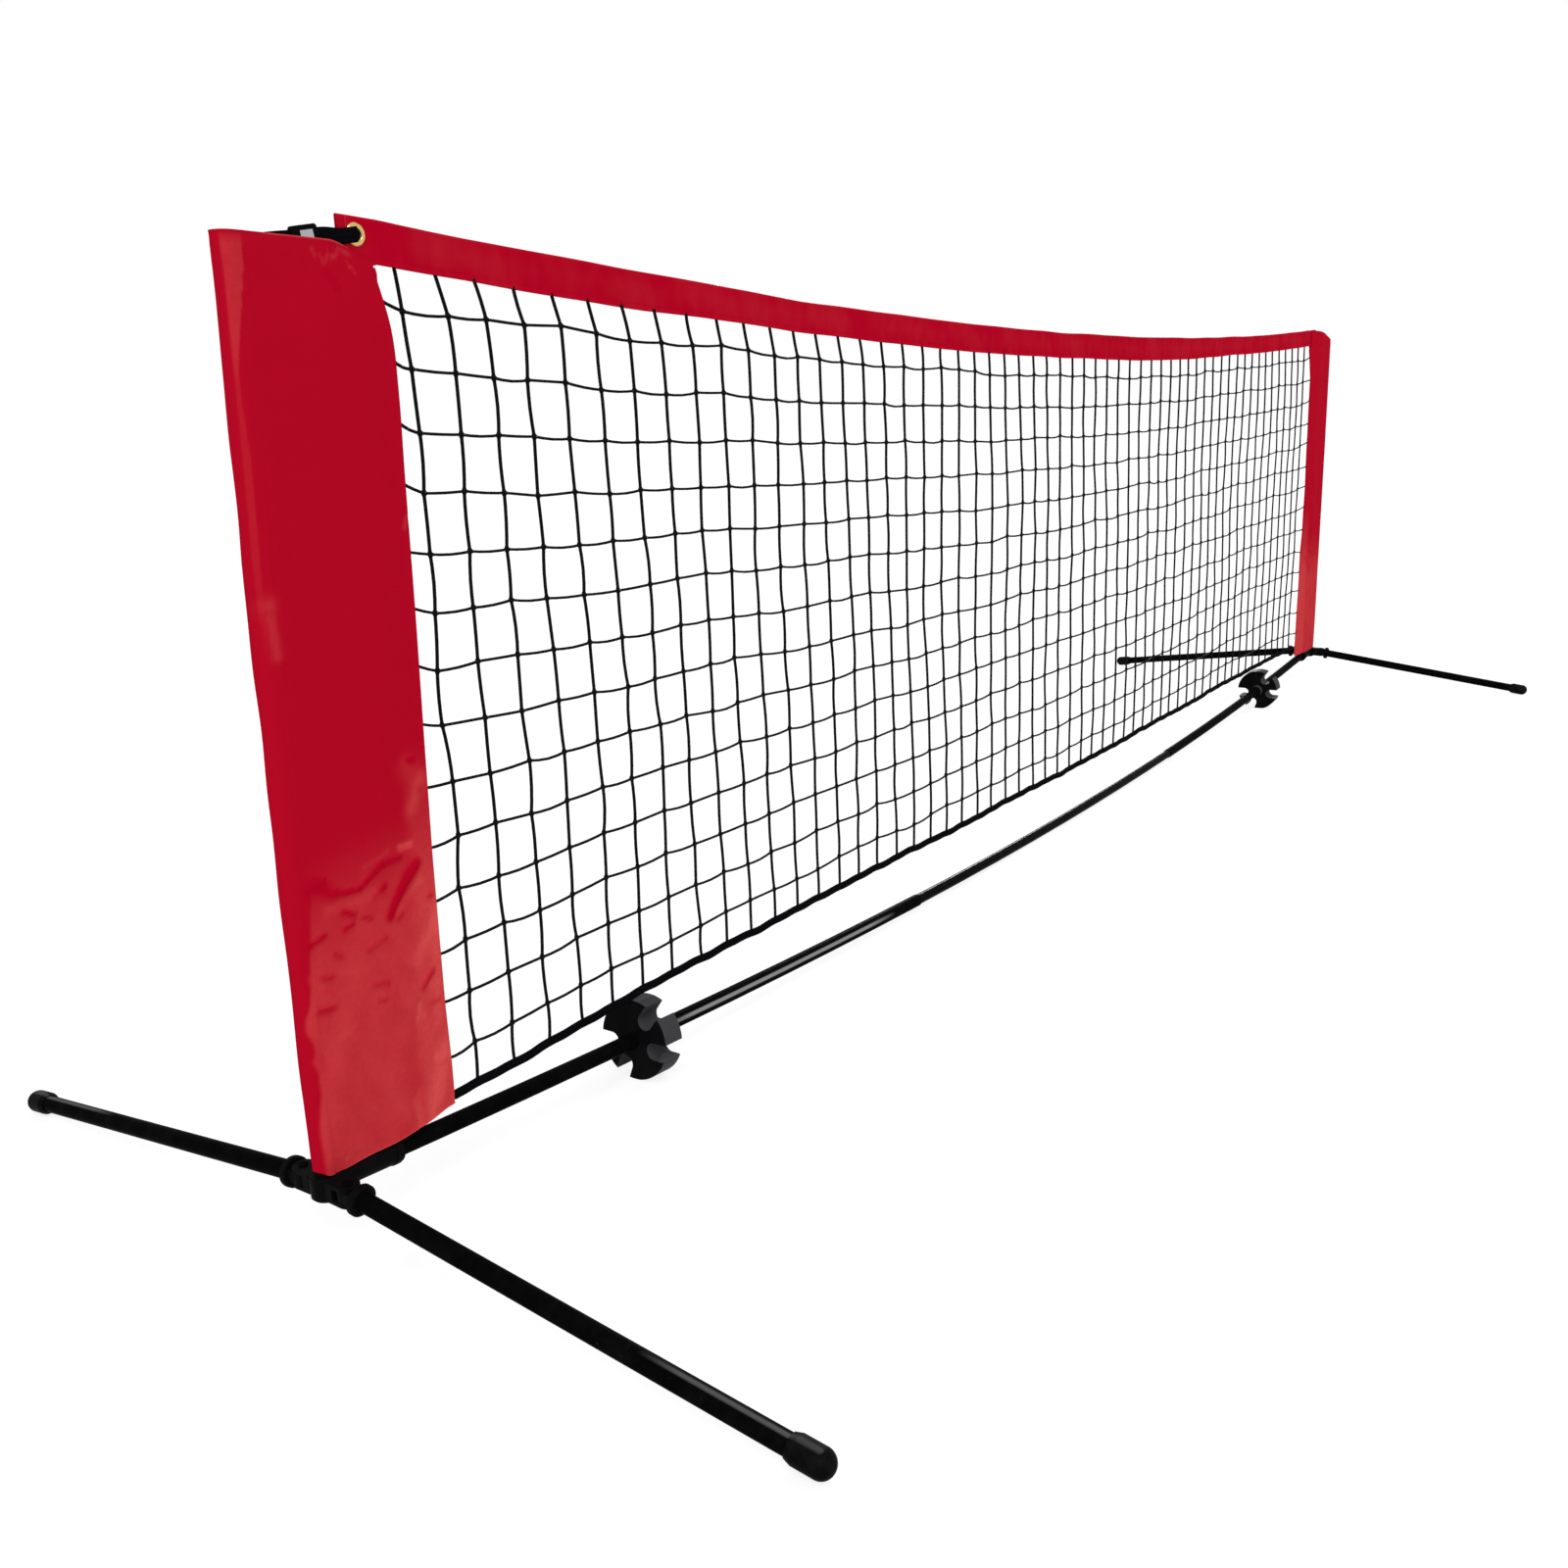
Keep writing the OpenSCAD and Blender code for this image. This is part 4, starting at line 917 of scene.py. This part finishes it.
def build_netting(net, material):
    """The netting: uprights from the hem to the band and rows from sleeve to sleeve, meeting in swollen knots."""
    x, y, z = knot_places(net)
    radius = net.twine / MM / 2
    draw = np.random.default_rng(55)
    paths = []
    for i in range(UPRIGHTS):
        foot = [x[0, i] - 1.5, 0, hem_mid(x[0, i]) + HEM_DEPTH / 2 - 2.5]
        head = [x[-1, i] - np.interp(i, *HEAD_DRAWN), 0, band_low(x[-1, i]) + 3]
        knots = np.concatenate([[foot], np.stack([x[:, i], y[:, i] + TWINE_OFFSET, z[:, i]], axis=-1), [head]])
        bow = np.zeros((ROWS + 1, 3))
        bow[:, 0] = draw.normal(0, 0.9, ROWS + 1)
        paths.append(thread_path(knots, bow))
    points, quads = twines(paths, UPRIGHT_SHARE * radius, (1.0, 0, 0))
    new_piece("net_uprights_twine", points, quads, material, ["net_uprights"])
    paths = []
    for j in range(ROWS):
        pull = np.interp(j, *ROW_PULL) + draw.normal(0, 1.5, 2).clip(-3, 3)
        ends = [edge_place(z[j, k] + pull[k], side) for k, side in ((0, -1), (-1, 1))]
        knots = np.concatenate([ends[:1], np.stack([x[j], y[j] - TWINE_OFFSET, z[j]], axis=-1), ends[1:]])
        bow = np.zeros((UPRIGHTS + 1, 3))
        bow[:, 2] = -np.abs(draw.normal(1.1, 0.7, UPRIGHTS + 1))
        paths.append(thread_path(knots, bow))
    points, quads = twines(paths, radius, (0, 1.0, 0))
    new_piece("net_rows_twine", points, quads, material, ["net_rows"])


# ---- strap loops -------------------------------------------------------------

# Half of the webbing's width round the post, how much of that it loses where it is gathered, and half of its
# thickness
STRAP_HALF, GATHERED = 9.5, 3.2
WEBBING_HALF = 0.5


def strap_path():
    """The strap's closed line for the right end, seen from above: half round the post, and through the grommet.

    Returns its points, each with its share of the way from post to grommet and its outward direction."""
    centre = post_x(STRAP_HEIGHT)
    run = centre - GROMMET[0]
    arc = np.radians(np.linspace(90, -90, 19))
    ring = np.stack([centre + STRAP_RING * np.cos(arc), STRAP_RING * np.sin(arc)], axis=-1)
    t = np.linspace(0, 1, 34)[1:]
    half = STRAP_RING + (STRAP_NOSE - STRAP_RING) * t
    front = np.stack([centre - run * t, -half], axis=-1)
    nose = np.radians(np.linspace(-90, -270, 11))[1:-1]
    bight = np.stack([GROMMET[0] - STRAP_BIGHT * np.abs(np.cos(nose)), STRAP_NOSE * np.sin(nose)], axis=-1)
    back = front[::-1] * (1, -1)
    line = np.concatenate([ring, front, bight, back])
    share = np.concatenate([np.zeros(len(ring)), t, np.ones(len(bight)), t[::-1]])
    ahead = np.roll(line, -1, axis=0) - np.roll(line, 1, axis=0)
    ahead /= np.linalg.norm(ahead, axis=1, keepdims=True)
    return line, share, np.stack([-ahead[:, 1], ahead[:, 0]], axis=-1)


def build_strap(name, node, material, side):
    """A webbing loop: flat round the post, climbing, and gathered into ridges where it goes through the grommet."""
    line, share, out = (values[:, None] for values in strap_path())
    x, y = line[..., 0], line[..., 1]
    across = np.linspace(-1, 1, 13)
    bunch = eased(share, 0.68, 0.9)
    beyond = x < GROMMET[0]
    width = np.where(beyond, 4.7 + eased(np.abs(y), 2.3, 2.9), STRAP_HALF - GATHERED * bunch)
    middle = STRAP_HEIGHT + (GROMMET[1] - STRAP_HEIGHT) * share + 1.5 * bell(share - 0.25, 0.2)
    height = middle + width * across
    ridges = 0.4 * bunch * np.cos(across * 3 * math.pi) * (1 - eased(share, 0.95, 1.0))
    bow = 0.12 * (1 - across ** 2)
    # the turn through the grommet is rounded towards its rims
    turn = np.minimum(x - GROMMET[0], 0) * np.sqrt(1 - (0.9 * across) ** 2)
    reach = np.where(beyond, GROMMET[0] + turn, x)
    base = np.stack([reach, y + 0 * height, height], axis=-1)
    way = np.stack([out[..., 0] + 0 * height, out[..., 1] + 0 * height, 0 * height], axis=-1)
    # the webbing is thinner along both edges
    lip = WEBBING_HALF - 0.22 * (np.abs(across) > 0.99)
    outer = base + way * (ridges + bow + lip)[..., None]
    inner = base + way * (ridges + bow - lip)[..., None]
    outer, inner = (np.swapaxes(face, 0, 1) for face in (outer, inner))
    points, quads = walled(outer, inner, wrap=True)
    points[:, 0] *= side
    if side < 0:
        quads = quads[:, ::-1]
    return new_piece(name, points, quads, material, [node])


# ---- settings ----------------------------------------------------------------


def colour_setting(name, description, default):
    """A colour property with its default, in linear values."""
    return bpy.props.FloatVectorProperty(
        name=name, description=description, default=default, size=3, min=0.0, max=1.0, subtype="COLOR")


def length_setting(name, description, default, low, high):
    """A length property in metres."""
    return bpy.props.FloatProperty(
        name=name, description=description, default=default, min=low, max=high, precision=4, unit="LENGTH")


def light_setting(name, description, default, high):
    """The strength of a light."""
    return bpy.props.FloatProperty(name=name, description=description, default=default, min=0.0, max=high)


class CourtNetCloth(bpy.types.PropertyGroup):
    """The red cloth of the sleeves and the band."""

    red: colour_setting("Cloth", "Colour of the taut cloth", (0.442, 0.0014, 0.0165))
    # the pale colour is painted sheen and painted highlight, mixed in where the cloth is slack and on its folds and
    # edges
    pale: colour_setting("Pale cloth", "Colour of the cloth where it is creased and slack", (0.700, 0.080, 0.078))
    thickness: length_setting("Cloth thickness", "Thickness of one layer of cloth", 0.0009, 0.0005, 0.0012)
    weave: length_setting("Thread pitch", "Distance between neighbouring threads", 0.0006, 0.0003, 0.002)
    fold_depth: bpy.props.FloatProperty(
        name="Fold depth", description="Depth of the folds as a share of the usual one",
        default=1.0, min=0.0, max=1.3, subtype="FACTOR")


class CourtNetNetting(bpy.types.PropertyGroup):
    """The netting and its tape."""

    twine: length_setting("Twine diameter", "Thickness of the netting's twine", 0.0030, 0.001, 0.004)
    pitch: length_setting("Mesh pitch", "Distance between neighbouring uprights", 0.0512, 0.045, 0.0512)
    slack: length_setting("Mesh scatter", "How far knots stray from an even mesh", 0.0012, 0.0, 0.004)
    twine_colour: colour_setting("Twine", "Colour of the twine", (0.0035, 0.0035, 0.0038))
    webbing: colour_setting("Webbing", "Colour of the straps and the hem tape", (0.0020, 0.0020, 0.0026))


class CourtNetFrame(bpy.types.PropertyGroup):
    """The finishes of the frame and its fittings."""

    coat: colour_setting("Powder coat", "Colour of the coated tubes", (0.0016, 0.0016, 0.0018))
    moulded: colour_setting("Mouldings", "Colour of hubs, clips, knuckles and buckles", (0.0026, 0.0026, 0.0030))
    rubber: colour_setting("Rubber", "Colour of the feet", (0.0024, 0.0024, 0.0024))
    steel: colour_setting("Steel", "Colour of the buckle plates", (0.36, 0.37, 0.40))
    brass: colour_setting("Brass", "Colour of the grommets", (0.62, 0.42, 0.16))
    wear: bpy.props.FloatProperty(
        name="Wear", description="Scratches and dust on the frame",
        default=0.45, min=0.0, max=1.0, subtype="FACTOR")


class CourtNetStage(bpy.types.PropertyGroup):
    """Floor, light and camera."""

    surround: light_setting("Surround light", "Strength of the light from all round", 0.62, 2.0)
    key: light_setting("Key light", "Strength of the main lamp", 1.5, 6.0)
    fill: light_setting("Fill light", "Strength of the second lamp", 0.5, 6.0)
    rim: light_setting("Rim light", "Strength of the small lamp behind the far end", 1.2, 6.0)
    lens: bpy.props.FloatProperty(
        name="Lens", description="Focal length of the camera in millimetres", default=32.2875, min=10.0, max=100.0)


# ---- operators ---------------------------------------------------------------


class COURT_NET_OT_stage(bpy.types.Operator):
    """Makes the pale floor, the soft light and the camera"""

    bl_idname = "court_net.stage"
    bl_label = "Stage"

    def execute(self, context):
        look = context.scene.court_net_stage
        scene = context.scene
        scene.view_settings.view_transform = "Standard"
        self.surround(scene, look.surround)
        self.floor()
        # each lamp's name, strength, size in the sky and turn, in degrees
        for name, strength, size, turn in (
                ("key lamp", look.key, 35, (38, -12, -38)), ("fill lamp", look.fill, 60, (58, 0, 70)),
                ("rim lamp", look.rim, 6, (69, 0, 114))):
            lamp = bpy.data.lights.new(name, "SUN")
            lamp.energy, lamp.angle = strength, math.radians(size)
            lamp_object = bpy.data.objects.new(name, lamp)
            lamp_object.rotation_euler = [math.radians(angle) for angle in turn]
            scene.collection.objects.link(lamp_object)
        scene.camera = self.camera(look.lens)
        scene.collection.objects.link(scene.camera)
        return {"FINISHED"}

    def surround(self, scene, strength):
        """An even surround that shows white to the camera and in reflections."""
        world = bpy.data.worlds.new("studio")
        world.use_nodes = True
        tree = Tree(world.node_tree)
        glow = tree.add("ShaderNodeBackground", {
            "Color": (1, 1, 1, 1), "Strength": tree.spread(tree.seen(), 0, 1, strength, 1.0)})
        tree.add("ShaderNodeOutputWorld", {"Surface": glow.outputs[0]})
        scene.world = world

    def floor(self):
        """A broad floor that shows white with a faint shadow, and is plain pale grey to the light."""
        half, level = 60.0, -0.0002
        mesh = bpy.data.meshes.new("floor")
        corners = [(half * x, half * y, level) for x, y in ((-1, -1), (1, -1), (1, 1), (-1, 1))]
        mesh.from_pydata(corners, [], [(0, 1, 2, 3)])
        material = bpy.data.materials.new("pale floor")
        material.use_nodes = True
        tree = Tree(material.node_tree)
        shadow = tree.add("ShaderNodeBsdfDiffuse", {"Color": (0.22, 0.22, 0.22, 1)})
        white = tree.add("ShaderNodeEmission", {"Color": (1, 1, 1, 1), "Strength": 0.82})
        shown = tree.add("ShaderNodeAddShader", {0: shadow.outputs[0], 1: white.outputs[0]})
        plain = tree.add("ShaderNodeBsdfDiffuse", {"Color": (0.75, 0.75, 0.75, 1)})
        mixed = tree.add("ShaderNodeMixShader", {0: tree.seen(), 1: plain.outputs[0], 2: shown.outputs[0]})
        tree.add("ShaderNodeOutputMaterial", {"Surface": mixed.outputs[0]})
        mesh.materials.append(material)
        floor = bpy.data.objects.new("floor", mesh)
        bpy.context.scene.collection.objects.link(floor)

    def camera(self, lens):
        """The camera in front of the left end, turned by yaw, pitch and roll."""
        place = (-2.283, -0.998, 0.7235)
        yaw, pitch, roll = (math.radians(angle) for angle in (35.22, 14.54, -1.88))
        ahead = Vector((math.cos(yaw) * math.cos(pitch), math.sin(yaw) * math.cos(pitch), -math.sin(pitch)))
        right = Vector((math.sin(yaw), -math.cos(yaw), 0))
        up = right.cross(ahead)
        across = right * math.cos(roll) + up * math.sin(roll)
        over = up * math.cos(roll) - right * math.sin(roll)
        camera = bpy.data.cameras.new("camera")
        camera.lens, camera.sensor_width = lens, 36.0
        camera.clip_start, camera.clip_end = 0.05, 200.0
        camera_object = bpy.data.objects.new("camera", camera)
        turned = Matrix((across, over, -ahead)).transposed().to_4x4()
        camera_object.matrix_world = Matrix.Translation(place) @ turned
        return camera_object


class COURT_NET_OT_frame_finishes(bpy.types.Operator):
    """Gives the tubes, mouldings, feet, pins, grommets and plates their finishes"""

    bl_idname = "court_net.frame_finishes"
    bl_label = "Frame finishes"

    def execute(self, context):
        look = context.scene.court_net_frame
        dull = {"gloss": 0.0012, "smooth": 0.2}
        coat, moulded = coat_finish("coated steel", look, **dull), moulded_finish("moulded nylon", look)
        # a part takes the first of these finishes whose key its name begins with
        finishes = {
            "buckle_plate": metal_finish("zinc-plated steel", look.steel, 0.55, 0.3, 1100.0),
            "grommet": metal_finish("brass", look.brass, 0.6, 0.24, 900.0),
            "leg_foot": rubber_finish(look),
            # the legs, the left bar and the clips get painted highlights
            "leg_tube": coat_finish("coated leg", look, painted_highlight="leg", **dull),
            "bar_middle": coat_finish("polished coated steel", look, gloss=0.005, smooth=0.12),
            "bar_left": coat_finish("coated bar", look, painted_highlight="bar", **dull),
            "clip_": moulded_finish("rubbed nylon", look, painted_highlight=0.45),
            **dict.fromkeys(("hub_", "leg_knuckle", "post_cap", "buckle_"), moulded),
            **dict.fromkeys(("hinge_pin", "bar_", "post_"), coat),
        }
        for name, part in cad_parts.items():
            material = next((finish for start, finish in finishes.items() if name.startswith(start)), None)
            for material_slot in part.material_slots if material else ():
                material_slot.material = material
        return {"FINISHED"}


class COURT_NET_OT_sleeves(bpy.types.Operator):
    """Makes the cloth sleeves that hang on the posts, with their seams and folds"""

    bl_idname = "court_net.sleeves"
    bl_label = "Sleeves"

    def execute(self, context):
        cloth = context.scene.court_net_cloth
        material = cloth_finish(cloth)
        for end, side, seed in (("left", -1, 11), ("right", 1, 71)):
            sleeve = build_sleeve(f"sleeve_{end}", f"pocket_{end}", cloth, material, side, seed)
        return {"FINISHED"}


class COURT_NET_OT_band(bpy.types.Operator):
    """Makes the folded band along the net's upper edge"""

    bl_idname = "court_net.band"
    bl_label = "Top band"

    def execute(self, context):
        cloth = context.scene.court_net_cloth
        band = build_band(cloth, bpy.data.materials.get("red cloth") or cloth_finish(cloth))
        return {"FINISHED"}


class COURT_NET_OT_netting(bpy.types.Operator):
    """Makes the knotted netting and the tape along its lower edge"""

    bl_idname = "court_net.netting"
    bl_label = "Netting and hem"

    def execute(self, context):
        net = context.scene.court_net_netting
        build_netting(net, twine_finish(net))
        tape = build_hem(webbing_finish("hem tape", net.webbing, 0.0011))
        return {"FINISHED"}


class COURT_NET_OT_straps(bpy.types.Operator):
    """Makes the webbing loops that tie the band's ends to the posts"""

    bl_idname = "court_net.straps"
    bl_label = "Strap loops"

    def execute(self, context):
        material = webbing_finish("strap webbing", context.scene.court_net_netting.webbing, 0.0014)
        for end, side in (("left", -1), ("right", 1)):
            build_strap(f"strap_loop_{end}", f"strap_{end}", material, side)
        return {"FINISHED"}


OPERATORS = (
    COURT_NET_OT_stage, COURT_NET_OT_frame_finishes, COURT_NET_OT_sleeves,
    COURT_NET_OT_band, COURT_NET_OT_netting, COURT_NET_OT_straps,
)
SETTINGS = {
    "court_net_stage": CourtNetStage, "court_net_frame": CourtNetFrame,
    "court_net_cloth": CourtNetCloth, "court_net_netting": CourtNetNetting,
}


class COURT_NET_PT_panel(bpy.types.Panel):
    """Lists the steps and their settings"""

    bl_idname = "COURT_NET_PT_panel"
    bl_label = "Court Net"
    bl_space_type = "VIEW_3D"
    bl_region_type = "UI"
    bl_category = "Court Net"

    def draw(self, context):
        for operator in OPERATORS:
            self.layout.operator(operator.bl_idname)
        for name, group in SETTINGS.items():
            box = self.layout.box()
            box.label(text=group.__doc__.strip("."))
            for setting in group.__annotations__:
                box.prop(getattr(context.scene, name), setting)


def register():
    for made in (*SETTINGS.values(), *OPERATORS, COURT_NET_PT_panel):
        bpy.utils.register_class(made)
    for name, group in SETTINGS.items():
        setattr(bpy.types.Scene, name, bpy.props.PointerProperty(type=group))


def unregister():
    for name in SETTINGS:
        delattr(bpy.types.Scene, name)
    for made in reversed((*SETTINGS.values(), *OPERATORS, COURT_NET_PT_panel)):
        bpy.utils.unregister_class(made)


def main():
    register()
    bpy.ops.court_net.stage()
    bpy.ops.court_net.frame_finishes()
    bpy.ops.court_net.sleeves()
    bpy.ops.court_net.band()
    bpy.ops.court_net.netting()
    bpy.ops.court_net.straps()


if __name__ == "__main__":
    main()
